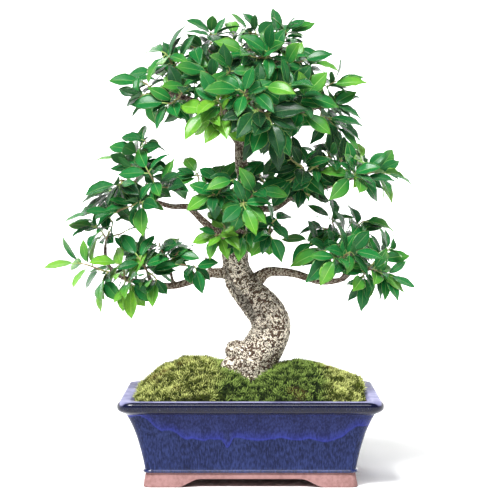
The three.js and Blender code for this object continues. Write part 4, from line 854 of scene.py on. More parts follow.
def screen_finish(settings):
    """Woven black threads with some dust on them."""
    finish = Finish("Black drainage mesh")
    x, y = finish.split(finish.stretched(finish.place, *[SCREEN_THREADS] * 3))[:2]
    weave = finish.math("MAXIMUM", abs(finish.math("SINE", x)), abs(finish.math("SINE", y)))
    dust = finish.noise(finish.place, 160, 3, 0.6)
    colour = finish.mixed(finish.ease(weave + 0.2 * dust, 0.7, 1.05), settings.screen_dark, settings.screen)
    finish.surface(Base_Color=colour, Roughness=0.45 + 0.3 * dust)
    finish.relief(weave, 0.0004)
    return finish.material


class SoilSettings(bpy.types.PropertyGroup):
    soil: colour_setting("Soil", "Paler grains of the soil", 92, 66, 46)
    soil_dark: colour_setting("Dark soil", "Darker grains of the soil", 36, 26, 20)
    screen: colour_setting("Screen", "Threads of the drainage mesh", 58, 60, 62)
    screen_dark: colour_setting("Dark screen", "Between the threads of the mesh", 20, 21, 22)


class BONSAI_OT_soil(bpy.types.Operator):
    """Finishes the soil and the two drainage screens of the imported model"""

    bl_idname = "bonsai.soil"
    bl_label = "Soil and screens"

    def execute(self, context):
        settings = context.scene.bonsai_soil
        screen = screen_finish(settings)
        materials = {
            "soil": soil_finish(settings), "drainage_screen_left": screen, "drainage_screen_right": screen,
        }
        for node, material in materials.items():
            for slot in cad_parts[node].material_slots:
                slot.material = material
        return {"FINISHED"}


# Moss

MERGE_DISTANCE = 1e-6
TUFT_SEED = 3
# Lean of a tuft's leaflets from upright, in degrees: the first one's, and how much more the last one's is
TUFT_LEAN = 12
TUFT_SPREAD = 58
# Tilt of a tuft, in radians, the range of its size, and how far upwards the faces look that carry tufts
TUFT_TILT = 0.6
TUFT_SIZES = (0.7, 1.35)
UPWARD = 0.12
# A leaflet: a span of its length, and as shares of that how deep it sits, where it starts and how far
# its tip rises
LEAFLET_LENGTHS = (0.75, 0.5)
LEAFLET_DEPTH = 0.25
LEAFLET_START = 0.15
LEAFLET_RISE = 0.12
LEAFLET_FACES = [(0, 1, 3), (1, 2, 3), (2, 0, 3), (0, 2, 1)]
# How often the moss's lumps, clumps and grains follow one another, to a metre
LUMP_SCALE = 60
CLUMP_SCALE = 140
GRAIN_SCALE = 380
# Where the young moss ends at the left and begins at the right, in millimetres from the pot's middle
YOUNG_LEFT = (-46, -22)
YOUNG_RIGHT = (70, 92)

MOSS_CUSHIONS = {
    "moss_front_left": ("moss_cushion_front_left", "moss_young"),
    "moss_front_middle": ("moss_cushion_front_middle", "moss_dark"),
    "moss_right": ("moss_cushion_right", "moss_young"),
    "moss_back_left": ("moss_cushion_back_left", "moss_dark"),
    "moss_back_right": ("moss_cushion_back_right", "moss_dark"),
}


def merged_copy(node):
    """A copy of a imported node's mesh with its loose triangles joined."""
    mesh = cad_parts[node].data.copy()
    work = bmesh.new()
    work.from_mesh(mesh)
    bmesh.ops.remove_doubles(work, verts=work.verts, dist=MERGE_DISTANCE)
    work.to_mesh(mesh)
    work.free()
    mesh.materials.clear()
    return mesh


def tuft_mesh(settings):
    """A tuft of short pointed moss leaflets, with a tip attribute that runs from root to point."""
    noise.seed_set(TUFT_SEED)
    points = []
    faces = []
    tips = []
    for i in range(settings.leaflets):
        turn = i * math.radians(GOLDEN_ANGLE)
        lean = math.radians(TUFT_LEAN + TUFT_SPREAD * i / settings.leaflets)
        way = Vector((math.sin(lean) * math.cos(turn), math.sin(lean) * math.sin(turn), math.cos(lean)))
        across = Vector((-math.sin(turn), math.cos(turn), 0))
        under = way.cross(across)
        length = settings.leaflet_length * pick(LEAFLET_LENGTHS, noise.random())
        half = settings.leaflet_width / 2
        root = -LEAFLET_DEPTH * length * Vector((0, 0, 1)) + LEAFLET_START * length * way
        first = len(points)
        points += [root - across * half, root + across * half, root + under * half]
        points.append(root + way * length + Vector((0, 0, LEAFLET_RISE * length)))
        faces += [tuple(first + corner for corner in face) for face in LEAFLET_FACES]
        tips += [0.0, 0.0, 0.0, 1.0]
    mesh = outward(mesh_of("tuft", points, faces))
    store(mesh, "tip", tips)
    return mesh


def tuft_group():
    """Geometry Nodes: tufts of moss all over the upward faces of a cushion."""
    graph, given = new_group("Moss tufts", {
        "Tuft": "NodeSocketObject", "Spacing": "NodeSocketFloat", "Density": "NodeSocketFloat",
        "Seed": "NodeSocketInt", "Base": "NodeSocketMaterial", "Moss": "NodeSocketMaterial",
    })

    def drawn(low, high):
        """A random number for each tuft."""
        sockets = {2: low, 3: high, "Seed": given["Seed"]}
        return graph.node("FunctionNodeRandomValue", sockets, data_type="FLOAT").outputs[1]

    up = graph.split(graph.first("GeometryNodeInputNormal"))[2]
    scattered = graph.node("GeometryNodeDistributePointsOnFaces", {
        "Mesh": given["Geometry"], "Distance Min": given["Spacing"], "Density Max": given["Density"],
        "Seed": given["Seed"],
        "Selection": graph.first("FunctionNodeCompare", {0: up, 1: UPWARD}, operation="GREATER_THAN"),
    }, distribute_method="POISSON")
    tilt = graph.first("FunctionNodeRandomValue", {
        0: (-TUFT_TILT, -TUFT_TILT, 0.0), 1: (TUFT_TILT, TUFT_TILT, 0.0), "Seed": given["Seed"],
    }, data_type="FLOAT_VECTOR")
    spin = graph.first("ShaderNodeCombineXYZ", {2: drawn(0.0, 2 * math.pi)})
    turn = graph.first("FunctionNodeEulerToRotation", {0: graph.vector_math("ADD", spin, tilt)})
    stored = graph.first("GeometryNodeStoreNamedAttribute", {
        "Geometry": scattered.outputs["Points"], "Name": "shade", "Value": drawn(0.0, 1.0),
    }, data_type="FLOAT", domain="POINT")
    planted = graph.first("GeometryNodeInstanceOnPoints", {
        "Points": stored,
        "Instance": graph.node("GeometryNodeObjectInfo", {"Object": given["Tuft"]}).outputs["Geometry"],
        "Rotation": graph.first("FunctionNodeRotateRotation", {
            0: scattered.outputs["Rotation"], 1: turn,
        }, rotation_space="LOCAL"),
        "Scale": drawn(*TUFT_SIZES),
    })
    tufts = graph.painted(graph.first("GeometryNodeRealizeInstances", {0: planted}), given["Moss"])
    bed = graph.painted(given["Geometry"], given["Base"])
    graph.node("NodeGroupOutput", {0: graph.joined(bed, tufts)})
    return graph.tree


def moss_finish(settings, tufted):
    """Living moss: yellow-green at the left and right, dark green in the middle, brown patches, painted
    shadow low on the leaflets and between the lumps, and a bed painted mostly in shadow.
    """
    finish = Finish("Moss tufts" if tufted else "Moss bed")
    across = finish.from_pot()[0] / MILLIMETRE
    cloud = finish.noise(finish.place, 45, 3, 0.6)
    patch = finish.noise(finish.place, 22, 2, 0.5)
    left = finish.fade(across + 40 * (cloud - 0.5), *YOUNG_LEFT)
    right = finish.ease(across + 30 * (cloud - 0.5), *YOUNG_RIGHT)
    bright = finish.math("MAXIMUM", left, right)
    green = finish.mixed(bright, settings.dark, settings.young)
    green = finish.mixed(finish.ease(patch, 0.6, 0.72) * 0.6, green, settings.brown)
    if tufted:
        tip = finish.field("tip")
        shade = finish.field("shade")
        pale = finish.mixed(bright, settings.dark_tip, settings.pale_tip)
        colour = finish.mixed(finish.ease(tip, 0.15, 0.8) * finish.ease(shade, 0.56, 0.74), green, pale)
        shadow = finish.fade(tip + 1.1 * shade, 0.4, 1.4, 0.96)
        # Painted shadow in the hollows between the lumps
        shadow = finish.math("MAXIMUM", shadow, finish.ease(finish.field("hollow_shade"), 0.5, 1.0, 0.0, 0.65))
        colour = finish.mixed(shadow, colour, settings.shadow)
    else:
        # The bed under the tufts is painted mostly in shadow
        colour = finish.mixed(0.8, green, settings.shadow)
    finish.surface(Base_Color=colour, Roughness=0.9, Specular_IOR_Level=0.2)
    finish.relief(finish.noise(finish.place, 700, 3, 0.6), 0.0008)
    return finish.material


def columns(mesh, field):
    """A field of the mesh's points as rows of three numbers."""
    values = np.zeros(3 * len(mesh.vertices))
    mesh.vertices.foreach_get(field, values)
    return values.reshape(-1, 3)


def raise_surface(mesh, heights):
    """Moves each point out along its normal by its own height."""
    points = columns(mesh, "co") + columns(mesh, "normal") * np.array(heights)[:, None]
    mesh.vertices.foreach_set("co", points.ravel())
    mesh.update()


def swollen(mesh, settings):
    """The cushion's top raised into soft lumps, with values for the painted shadow in the hollows between
    them.
    """
    heights = []
    hollows = []
    for point, normal in zip(columns(mesh, "co"), columns(mesh, "normal")):
        place = Vector(point)
        grain = noise.noise(place * GRAIN_SCALE)
        clump = noise.noise(place * CLUMP_SCALE)
        lumps = noise.noise(place * LUMP_SCALE) + 0.6 * clump + 0.3 * grain
        heights.append(settings.lumps * lumps * max(normal[2], 0.0))
        # How deep a point lies between the lumps, for the painted shadow there
        hollows.append(0.5 - grain - 0.4 * clump)
    raise_surface(mesh, heights)
    store(mesh, "hollow_shade", hollows)
    return mesh


class MossSettings(bpy.types.PropertyGroup):
    young: colour_setting("Young moss", "Moss at the left and right", 80, 92, 24)
    pale_tip: colour_setting("Pale tips", "Tips of the young moss", 224, 230, 140)
    dark: colour_setting("Dark moss", "Moss in the middle and at the back", 35, 57, 15)
    dark_tip: colour_setting("Dark moss tips", "Tips of the dark moss", 160, 188, 94)
    brown: colour_setting("Dry moss", "Dry patches", 128, 96, 52)
    shadow: colour_setting("Moss shadow", "Between the leaflets", 20, 25, 11)
    grid: length_setting("Grid", "Mesh size of the cushions", 0.002, 0.001, 0.006)
    lumps: length_setting("Lumps", "Height of the soft lumps", 0.003, 0, 0.008)
    spacing: length_setting("Tuft spacing", "Least distance between tufts", 0.0021, 0.001, 0.01)
    density: number_setting("Tuft density", "Most tufts to a square metre", 260000, 1000, 900000)
    leaflets: count_setting("Leaflets", "Leaflets to a tuft", 7, 3, 16)
    leaflet_length: length_setting("Leaflet length", "Length of a leaflet", 0.0044, 0.0005, 0.006)
    leaflet_width: length_setting(
        "Leaflet width", "Width of a leaflet at its root", 0.00115, 0.0001, 0.002)


class BONSAI_OT_moss(bpy.types.Operator):
    """Grows the five cushions of moss"""

    bl_idname = "bonsai.moss"
    bl_label = "Moss"

    def execute(self, context):
        settings = context.scene.bonsai_moss
        group = tuft_group()
        tuft = new_object("tuft", tuft_mesh(settings))
        bed = moss_finish(settings, False)
        moss = moss_finish(settings, True)
        for seed, (node, (name, slot)) in enumerate(MOSS_CUSHIONS.items(), start=1):
            mesh = with_modifier(merged_copy(node), "REMESH", mode="VOXEL", voxel_size=settings.grid)
            mesh = grown_by(swollen(mesh, settings), group, {
                "Tuft": tuft, "Spacing": settings.spacing, "Density": settings.density, "Seed": seed,
                "Base": bed, "Moss": moss,
            })
            finished(name, mesh, slot, node)
        bpy.data.objects.remove(tuft)
        return {"FINISHED"}


# Wood

# How far from a limb its own bark can be, and how far apart the limbs' bark patterns are, in millimetres
NEAR_LIMB = 4
LIMB_SPACING = 137
# A limb of more than this radius, in millimetres, is drawn with more sides
THICK_LIMB = 9
THICK_SIDES = 32
THIN_SIDES = 12
# Points added between the rows of a limb
TRUNK_STEPS = 8
BRANCH_STEPS = 6
TWIG_STEPS = 2
TWIG_ROWS = 5
SMOOTHING = {"factor": 0.5, "iterations": 2}
# Twigs leave a branch, or the last rows of the trunk, this share of their distance behind their end, and
# at least this share of the way along. The heading there is taken over some millimetres each way.
CROWN_ROWS = 6
TWIG_SETBACK = 0.45
TWIG_START = 0.12
HEADING_STEP = 2
BRANCH_SAMPLES = 60
CURVE_SAMPLES = 200
CURVE_NUDGE = 0.0001
FORK_TURN = 15


class Limb:
    """A trunk, root, branch or twig: its middle line with its radius, and a frame carried along it."""

    def __init__(self, rows, steps):
        flowing = smooth_rows(rows, steps)
        self.points = [Vector(row[:3]) for row in flowing]
        self.radii = [float(row[3]) for row in flowing]
        self.ways = []
        for i in range(len(self.points)):
            before = self.points[max(i - 1, 0)]
            after = self.points[min(i + 1, len(self.points) - 1)]
            self.ways.append((after - before).normalized())
        start = Vector((1, 0, 0)) if abs(self.ways[0].x) < 0.8 else Vector((0, 1, 0))
        self.across = []
        for way in self.ways:
            start = (start - way * start.dot(way)).normalized()
            self.across.append(start)
        self.along = [0.0]
        for i in range(1, len(self.points)):
            self.along.append(self.along[-1] + (self.points[i] - self.points[i - 1]).length)

    def rings(self, sides):
        """Rings of points round the middle line."""
        rings = []
        for point, radius, way, across in zip(self.points, self.radii, self.ways, self.across):
            other = way.cross(across)
            turns = [2 * math.pi * j / sides for j in range(sides)]
            rings.append([point + radius * (across * math.cos(t) + other * math.sin(t)) for t in turns])
        return rings


def cubic(start, heading, end, arrival):
    """The four control points of a curve from one heading to another."""
    reach = CURVE_REACH * (end - start).length
    return [start, start + heading * reach, end - arrival * reach, end]


def curve_point(curve, t):
    """The place on a curve at a share of its run."""
    a, b, c, d = curve
    s = 1 - t
    return a * s ** 3 + b * (3 * s * s * t) + c * (3 * s * t * t) + d * t ** 3


def curve_way(curve, t):
    """The heading of a curve at a share of its run."""
    low = max(t - CURVE_NUDGE, 0)
    high = min(t + CURVE_NUDGE, 1)
    return (curve_point(curve, high) - curve_point(curve, low)).normalized()


def curve_length(curve):
    """The length of a curve."""
    points = [curve_point(curve, i / CURVE_SAMPLES) for i in range(CURVE_SAMPLES + 1)]
    return sum((b - a).length for a, b in zip(points, points[1:]))


def aim(azimuth, elevation):
    """A heading from its angle round the upright axis and its angle over the level, in degrees."""
    a = math.radians(azimuth)
    e = math.radians(elevation)
    return Vector((math.cos(e) * math.cos(a), math.cos(e) * math.sin(a), math.sin(e)))


def square_to(direction, axis):
    """The part of a direction that is square to an axis."""
    return (direction - axis * direction.dot(axis)).normalized()


def point_along(points, lengths, along):
    """The place at a distance along a line of points."""
    i = 1
    while i < len(points) - 1 and lengths[i] < along:
        i += 1
    share = (along - lengths[i - 1]) / (lengths[i] - lengths[i - 1])
    return points[i - 1].lerp(points[i], share)


def twig_root(name, end):
    """Where a twig leaves its branch, and the branch's heading there."""
    rows = TRUNK[-CROWN_ROWS:] if name == "trunk" else BRANCHES[name]
    points = [Vector(row[:3]) for row in rows]
    lengths = [0.0]
    for a, b in zip(points, points[1:]):
        lengths.append(lengths[-1] + (b - a).length)
    total = lengths[-1]
    samples = [total * k / BRANCH_SAMPLES for k in range(BRANCH_SAMPLES + 1)]
    nearest = min(samples, key=lambda along: (point_along(points, lengths, along) - end).length)
    distance = (point_along(points, lengths, nearest) - end).length
    along = max(nearest - TWIG_SETBACK * distance, TWIG_START * total)
    ahead = point_along(points, lengths, min(along + HEADING_STEP, total))
    behind = point_along(points, lengths, along - HEADING_STEP)
    return point_along(points, lengths, along), (ahead - behind).normalized()


def fork_ways(base, axis, rows):
    """Ways out for the side shoots, out of three a third of a turn apart, that point best at their tips."""
    wanted = [square_to(Vector(row[:3]) - base, axis) for row in rows]
    start = square_to(Vector((0.2, 0.3, 1)), axis)
    choices = []
    for turn in range(0, 360, FORK_TURN):
        for step in (120, -120):
            ways = [Quaternion(axis, math.radians(turn + i * step)) @ start for i in range(len(rows))]
            choices.append((sum(way.dot(want) for way, want in zip(ways, wanted)), ways))
    return max(choices, key=lambda choice: choice[0])[1]


def plan_spray(row):
    """A spray's woody twig and its green shoots, each as a curve with its own row."""
    parent, end, shoots = row[1], Vector(row[3]), row[4]
    middle = sum((Vector(shoot[:3]) for shoot in shoots), Vector()) / len(shoots)
    root, heading = twig_root(parent, end)
    outwards = (end - root).normalized()
    arrival = ((middle - end).normalized() * 0.6 + outwards).normalized()
    twig = cubic(root, (outwards + heading).normalized(), end, arrival)
    first = end + arrival * SHOOT_GAP
    ordered = sorted(shoots, key=lambda shoot: -(Vector(shoot[:3]) - first).normalized().dot(arrival))
    curves = [cubic(first, arrival, Vector(ordered[0][:3]), aim(*ordered[0][3:5]))]
    for shoot, way in zip(ordered[1:], fork_ways(first, arrival, ordered[1:])):
        fork = first + arrival * FORK_HEIGHT + way * SHOOT_RADIUS / 2
        curves.append(cubic(fork, (way + arrival).normalized(), Vector(shoot[:3]), aim(*shoot[3:5])))
    return twig, list(zip(curves, ordered))


def extra_shoots(row, curves):
    """More shoots of a spray, each from the nearest place on its own shoots."""
    grown = []
    for shoot in EXTRA_SHOOTS.get(row[0], []):
        end = Vector(shoot[:3])
        places = [(curve, share / 10) for curve in curves for share in range(2, 10)]
        curve, t = min(places, key=lambda place: (curve_point(*place) - end).length)
        fork = curve_point(curve, t)
        out = ((end - fork).normalized() + curve_way(curve, t)).normalized()
        grown.append((cubic(fork, out, end, aim(*shoot[3:5])), shoot))
    return grown


def twig_limb(twig):
    """A woody twig that thins towards its end."""
    rows = []
    for i in range(TWIG_ROWS + 1):
        t = i / TWIG_ROWS
        rows.append([*curve_point(twig, t), TWIG_BASE_RADIUS + (TWIG_RADIUS - TWIG_BASE_RADIUS) * t])
    return Limb(rows, TWIG_STEPS)


def bark_relief(place, girth):
    """How far the bark stands out at a place of the straightened limb, in millimetres."""
    x, y, along = place
    coarse = noise.noise(Vector((x, y, along * 0.7)) * 0.075 + Vector((5, 0, 0)))
    wrinkle = noise.noise(Vector((x * 0.1, y * 0.1, along * 0.33)))
    fine = noise.noise(Vector((x * 0.4, y * 0.4, along * 0.9)))
    share = min(girth / 20, 1.0)
    flute = math.cos(3 * math.atan2(y, x) + 0.022 * along)
    flute *= 0.6 + noise.noise(Vector((2, 7, along * 0.02)))
    return share * (1.3 * coarse + 0.9 * wrinkle + 0.4 * fine + 1.5 * flute)


def straightened(points, limbs):
    """For each point, its place on the nearest limb as if that limb were straight, and the limb's radius."""
    places = np.zeros((len(points), 3))
    girths = np.zeros(len(points))
    nearest = np.full(len(points), np.inf)
    for number, limb in enumerate(limbs):
        line = np.array(limb.points)
        radii = np.array(limb.radii)
        across = np.array(limb.across)
        ways = np.array(limb.ways)
        other = np.cross(ways, across)
        reach = radii.max() + NEAR_LIMB
        inside = np.all((points > line.min(0) - reach) & (points < line.max(0) + reach), axis=1)
        chosen = np.nonzero(inside)[0]
        if len(chosen) == 0:
            continue
        offsets = points[chosen][:, None, :] - line[None, :, :]
        gaps = np.linalg.norm(offsets, axis=2) - radii[None, :]
        best = gaps.argmin(1)
        gap = gaps[np.arange(len(chosen)), best]
        closer = gap < nearest[chosen]
        rows = chosen[closer]
        at = best[closer]
        offset = offsets[closer, at]
        nearest[rows] = gap[closer]
        girths[rows] = radii[at]
        along = np.array(limb.along)[at] + (offset * ways[at]).sum(1)
        places[rows, 0] = (offset * across[at]).sum(1)
        places[rows, 1] = (offset * other[at]).sum(1)
        places[rows, 2] = along + LIMB_SPACING * number
    return places, girths


def bark_finish(settings):
    """Brown bark crowded with cream flakes, with painted shade in its grooves and in the relief's hollows,
    and plain on the thin twigs.
    """
    finish = Finish("Speckled bark")
    straight = finish.attribute("straight", "Vector")
    girth = finish.field("girth")
    fine = finish.noise(finish.stretched(straight, 1, 1, 1.6), 0.8, 3, 0.6)
    cloud = finish.noise(straight, 0.05, 3, 0.6)
    groove = finish.noise(finish.stretched(straight, 1, 1, 0.5), 0.12, 4, 0.65)
    old = finish.ease(girth, 3.0, 12.0)

    bend = finish.node("ShaderNodeTexNoise", {"Vector": straight, "Scale": 0.16}).outputs["Color"]
    bent = finish.vector_math("ADD", straight, finish.stretched(bend, 9, 9, 9))
    along_edge, along_chance = finish.flakes(finish.stretched(bent, 1.3, 1.3, 0.6), settings.flakes)
    round_edge, round_chance = finish.flakes(finish.stretched(bent, 0.7, 0.7, 1.5), settings.flakes)
    which = finish.ease(finish.noise(straight, 0.035, 2, 0.5), 0.47, 0.53)
    edge = along_edge + (round_edge - along_edge) * which
    chance = along_chance + (round_chance - along_chance) * which
    density = finish.ease(finish.noise(straight, 0.06, 3, 0.6), 0.36, 0.62, 0.39, 0.63)
    speck = finish.ease(edge, 0.03, 0.13) * finish.ease(chance + density - 1, -0.03, 0.03)
    # Painted shade: the relief's hollows are darkened and carry fewer cream flakes
    hollow_shade = finish.fade(finish.field("relief"), -2.4, -0.2) * old
    amount = speck * (0.3 + 0.7 * old) * (1 - 0.6 * hollow_shade)
    worm = finish.noise(finish.stretched(straight, 1, 1, 1.6), 0.5, 2, 0.5, 1.0)
    lines = finish.fade(abs(worm - 0.5), 0.02, 0.07)
    raised = finish.math("MAXIMUM", speck, lines * 0.65)

    brown = finish.mixed(finish.ease(cloud, 0.35, 0.65), settings.brown, settings.umber)
    brown = finish.mixed(finish.ease(fine + 0.4 * (chance - 0.5), 0.42, 0.66), brown, settings.khaki)
    brown = finish.mixed(finish.fade(edge, 0.0, 0.12, 0.85), brown, settings.dark)
    # Painted shade in the grooves of the bump, on the thick wood
    brown = finish.mixed(finish.fade(groove, 0.34, 0.46, 0.7) * old, brown, settings.dark)
    twig = finish.mixed(finish.ease(fine, 0.35, 0.65), settings.twig_dark, settings.twig)
    wood = finish.mixed(finish.ease(girth, 1.8, 6.0), twig, brown)
    # Painted shade in the relief's hollows
    wood = finish.mixed(hollow_shade * 0.8, wood, settings.dark)
    cream = finish.mixed(finish.ease(fine, 0.3, 0.5), settings.cream_shade, settings.cream)
    finish.surface(Base_Color=finish.mixed(amount, wood, cream), Roughness=0.88 - 0.12 * raised)
    finish.relief(raised * 0.6 + fine * 0.3 + groove * 0.8, 0.001, 1.0)
    return finish.material


class WoodSettings(bpy.types.PropertyGroup):
    cream: colour_setting("Cream", "Raised dashes of the bark", 255, 246, 226)
    cream_shade: colour_setting("Shaded cream", "Edges of the dashes", 206, 186, 156)
    brown: colour_setting("Bark brown", "Bark between its dashes", 80, 60, 44)
    khaki: colour_setting("Khaki", "Paler bark between the dashes", 138, 120, 92)
    umber: colour_setting("Umber", "Warmer patches of bark", 84, 60, 48)
    # Dark bark is the colour of the pits, and also the painted shade in the grooves and the relief's hollows
    dark: colour_setting("Dark bark", "Pits of the bark", 30, 22, 19)
    twig: colour_setting("Twig", "Thin branches", 112, 86, 70)
    twig_dark: colour_setting("Dark twig", "Shaded bark of thin branches", 50, 35, 33)
    flakes: number_setting("Flakes", "Flakes of the bark to a millimetre", 0.66, 0.1, 2)
    grid: length_setting("Grid", "Mesh size before thinning", 0.00095, 0.0005, 0.004)
    relief: number_setting("Relief", "Strength of the bark's relief", 1.0, 0, 3)
    triangles: count_setting("Triangles", "Most triangles in the wood", 130000, 20000, 190000)


class BONSAI_OT_wood(bpy.types.Operator):
    """Grows the trunk, stump, roots, branches and twigs as one piece of wood"""

    bl_idname = "bonsai.wood"
    bl_label = "Wood"

    def execute(self, context):
        settings = context.scene.bonsai_wood
        limbs = [Limb(rows, TRUNK_STEPS) for rows in (TRUNK, STUMP, *ROOTS)]
        limbs += [Limb(rows, BRANCH_STEPS) for rows in BRANCHES.values()]
        limbs += [twig_limb(plan_spray(row)[0]) for row in SPRAYS]
        work = bmesh.new()
        for limb in limbs:
            sides = THICK_SIDES if max(limb.radii) > THICK_LIMB else THIN_SIDES
            rings = [[placed(point) for point in ring] for ring in limb.rings(sides)]
            work.from_mesh(outward(loft_mesh("limb", rings)))
        mesh = bpy.data.meshes.new("wood")
        work.to_mesh(mesh)
        work.free()
        mesh = with_modifier(mesh, "REMESH", mode="VOXEL", voxel_size=settings.grid)
        mesh = with_modifier(mesh, "SMOOTH", **SMOOTHING)
        places, girths = straightened(self.drawn(mesh), limbs)
        strength = settings.relief * MILLIMETRE
        raise_surface(mesh, strength * self.heights(mesh, places, girths))
        count = 2 * len(mesh.polygons)
        mesh = with_modifier(mesh, "DECIMATE", ratio=min(settings.triangles / count, 1.0))
        places, girths = straightened(self.drawn(mesh), limbs)
        store(mesh, "straight", places.ravel(), "FLOAT_VECTOR")
        store(mesh, "girth", girths)
        store(mesh, "relief", self.heights(mesh, places, girths))
        shade_smooth(mesh)
        mesh.materials.append(bark_finish(settings))
        finished("bark_and_branches", mesh, "bark", "trunk_and_branches")
        return {"FINISHED"}

    def drawn(self, mesh):
        """The mesh's points in the drawing's own millimetres."""
        return (columns(mesh, "co") - np.array(POT_MIDDLE)) / MILLIMETRE

    def heights(self, mesh, places, girths):
        """How far the bark stands out at each point, with the trunk's front creases cut in."""
        heights = np.array([bark_relief(*row) for row in zip(places, girths)])
        points = self.drawn(mesh)
        front = np.clip(-points[:, 1] / CREASE_FRONT, 0, 1)
        for depth, width, line in CREASES:
            gap = np.full(len(points), np.inf)
            for start, end in zip(np.array(line), np.array(line)[1:]):
                way = end - start
                offset = points[:, [0, 2]] - start
                share = np.clip((offset @ way) / (way @ way), 0, 1)
                gap = np.minimum(gap, np.linalg.norm(offset - share[:, None] * way, axis=1))
            heights -= depth * front * np.exp(-(gap / width) ** 2)
        return heights


# Leafy sprays

LEAF_KINDS = 6
LEAF_DRAWS = 6
LEAF_SEED = 11
# Spans of the planned leaves, as in the source: widths and lengths are shares, angles are in degrees
LEAF_WIDTHS = (0.42, 0.1)
LEAF_LENGTHS = (0.84, 0.3)
LEAF_ARCHES = (14, 34)
LEAF_DROOPS = (0.12, 0.16)
TIP_LENGTH = 1.08
TIP_CONE = 12
SIDE_CONE = 42
CONE_STEP = 7
CROWN_RADIUS = 70
# Spans of the added leaves
ADDED_WIDTHS = (0.32, 0.2)
ADDED_LENGTHS = (0.76, 0.34)
ADDED_PLACES = (0.06, 0.92)
ADDED_CONES = (30, 60)
# The six leaf shapes: spans of their folds, waves and numbers of waves, and how far they bend and twist
FOLDS = (0.7, 0.6)
WAVES = (0.5, 1.0)
WAVE_COUNTS = (2.2, 1.6)
SIDE_BEND = 0.05
TWIST = 0.22
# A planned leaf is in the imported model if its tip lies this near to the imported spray, in millimetres
PACKED_GAP = 0.2
STEM_SIDES = 8
STEM_STEPS = 10
# How far a shoot's green stem reaches back into the wood or the shoot it grows from, in millimetres
STEM_OVERLAP = 1.6
STALK_HALF_WIDTH = 0.04
STALK_HALF_HEIGHT = 0.016
TONE_TINTS = {"dark": 0.2, "mid": 0.46, "young": 0.74}
TONE_SLOTS = {"dark": "leaf_dark", "mid": "leaf", "young": "leaf_young"}
# How fast the side veins follow one another, in radians to a leaf's length
SIDE_VEINS = 150


def random_stream(seed):
    """A seeded stream of numbers from 0 to 1, the same as the source's."""
    state = seed & 0xffffffff
    while True:
        state = (state + 0x6d2b79f5) & 0xffffffff
        mixed = ((state ^ (state >> 15)) * (state | 1)) & 0xffffffff
        mixed ^= (mixed + (((mixed ^ (mixed >> 7)) * (mixed | 61)) & 0xffffffff)) & 0xffffffff
        yield ((mixed ^ (mixed >> 14)) & 0xffffffff) / 4294967296


def leaf_at(curve, t, angle, cone, draws):
    """A leaf at a place on a shoot, with its turn round the shoot and its slant from it in degrees."""
    root = curve_point(curve, t)
    axis = curve_way(curve, t)
    side = axis.cross(Vector((0.3, 0.2, 1))).normalized()
    other = axis.cross(side)
    angle = math.radians(angle)
    cone = math.radians(cone)
    heading = axis * math.cos(cone)
    heading += (side * math.cos(angle) + other * math.sin(angle)) * math.sin(cone)
    heading.z -= pick(LEAF_DROOPS, draws[4])
    heading.normalize()
    outwards = Vector((root.x * 0.55, root.y, 0)) / CROWN_RADIUS
    if outwards.length > 1:
        outwards.normalize()
    face = Vector((0.9 * (draws[3] - 0.5), -0.35 + 0.5 * (draws[0] - 0.5), 0.8)) + outwards
    return {
        "root": root,
        "heading": heading,
        "face": square_to(face, heading),
        "width": pick(LEAF_WIDTHS, draws[5]),
        "arch": math.radians(pick(LEAF_ARCHES, draws[4])),
        "kind": int(LEAF_KINDS * draws[3]) % LEAF_KINDS,
        "draw": draws[1],
    }


def shoot_leaves(curve, row, stream):
    """The planned leaves of one shoot: one at its tip, the rest spiralling back down it."""
    count, size = row[5], row[6]
    length = curve_length(curve)
    spin = 360 * next(stream)
    leaves = []
    for k in range(count):
        draws = [next(stream) for draw in range(LEAF_DRAWS)]
        t = 1 - min(k * LEAF_STEP, 0.85 * length * (k / count)) / length
        angle = spin + GOLDEN_ANGLE * k + 30 * (draws[0] - 0.5)
        cone = TIP_CONE * draws[1] if k == 0 else SIDE_CONE + CONE_STEP * k + 16 * (draws[1] - 0.5)
        leaf = leaf_at(curve, t, angle, cone, draws)
        leaf["length"] = size * (TIP_LENGTH if k == 0 else pick(LEAF_LENGTHS, draws[2]))
        leaf["age"] = k / max(count - 1, 1)
        leaves.append(leaf)
    return leaves


def side_leaf(curve, size, stream):
    """One more leaf somewhere along a shoot, mostly narrower than the planned ones."""
    draws = [next(stream) for draw in range(LEAF_DRAWS)]
    place = pick(ADDED_PLACES, next(stream))
    leaf = leaf_at(curve, place, 360 * next(stream), pick(ADDED_CONES, draws[1]), draws)
    leaf["length"] = size * pick(ADDED_LENGTHS, draws[2])
    leaf["width"] = pick(ADDED_WIDTHS, draws[5])
    leaf["age"] = next(stream)
    return leaf


# The standard leaf: its arch, its lines of points on the top and under side from edge to edge, and the
# places of its rows along the stalk and along the blade
LEAF_ARCH = math.radians(31)
LEAF_TOPS = (-1.0, -0.72, -0.4, -0.1, 0.0, 0.1, 0.4, 0.72, 1.0)
LEAF_UNDERS = (0.72, 0.4, 0.09, -0.09, -0.4, -0.72)
BLADE_SHARES = (0.0, 0.03, 0.09, 0.18, 0.29, 0.41, 0.53, 0.65, 0.76, 0.86, 0.94)
STALK_SHARES = (0.0, 0.06, 0.115)


def blade_half(share):
    """Half the blade's width at a share of its length, for a blade of width 1."""
    return 0.5 * math.sin(math.pi * share ** 0.86) ** (0.72 + 0.55 * share)


def arched(share, bend):
    """The middle line of the standard leaf, at a share of its length, with a bend to one side."""
    turn = LEAF_ARCH * share
    return Vector((math.sin(turn) / LEAF_ARCH, bend * share * share, (math.cos(turn) - 1) / LEAF_ARCH))


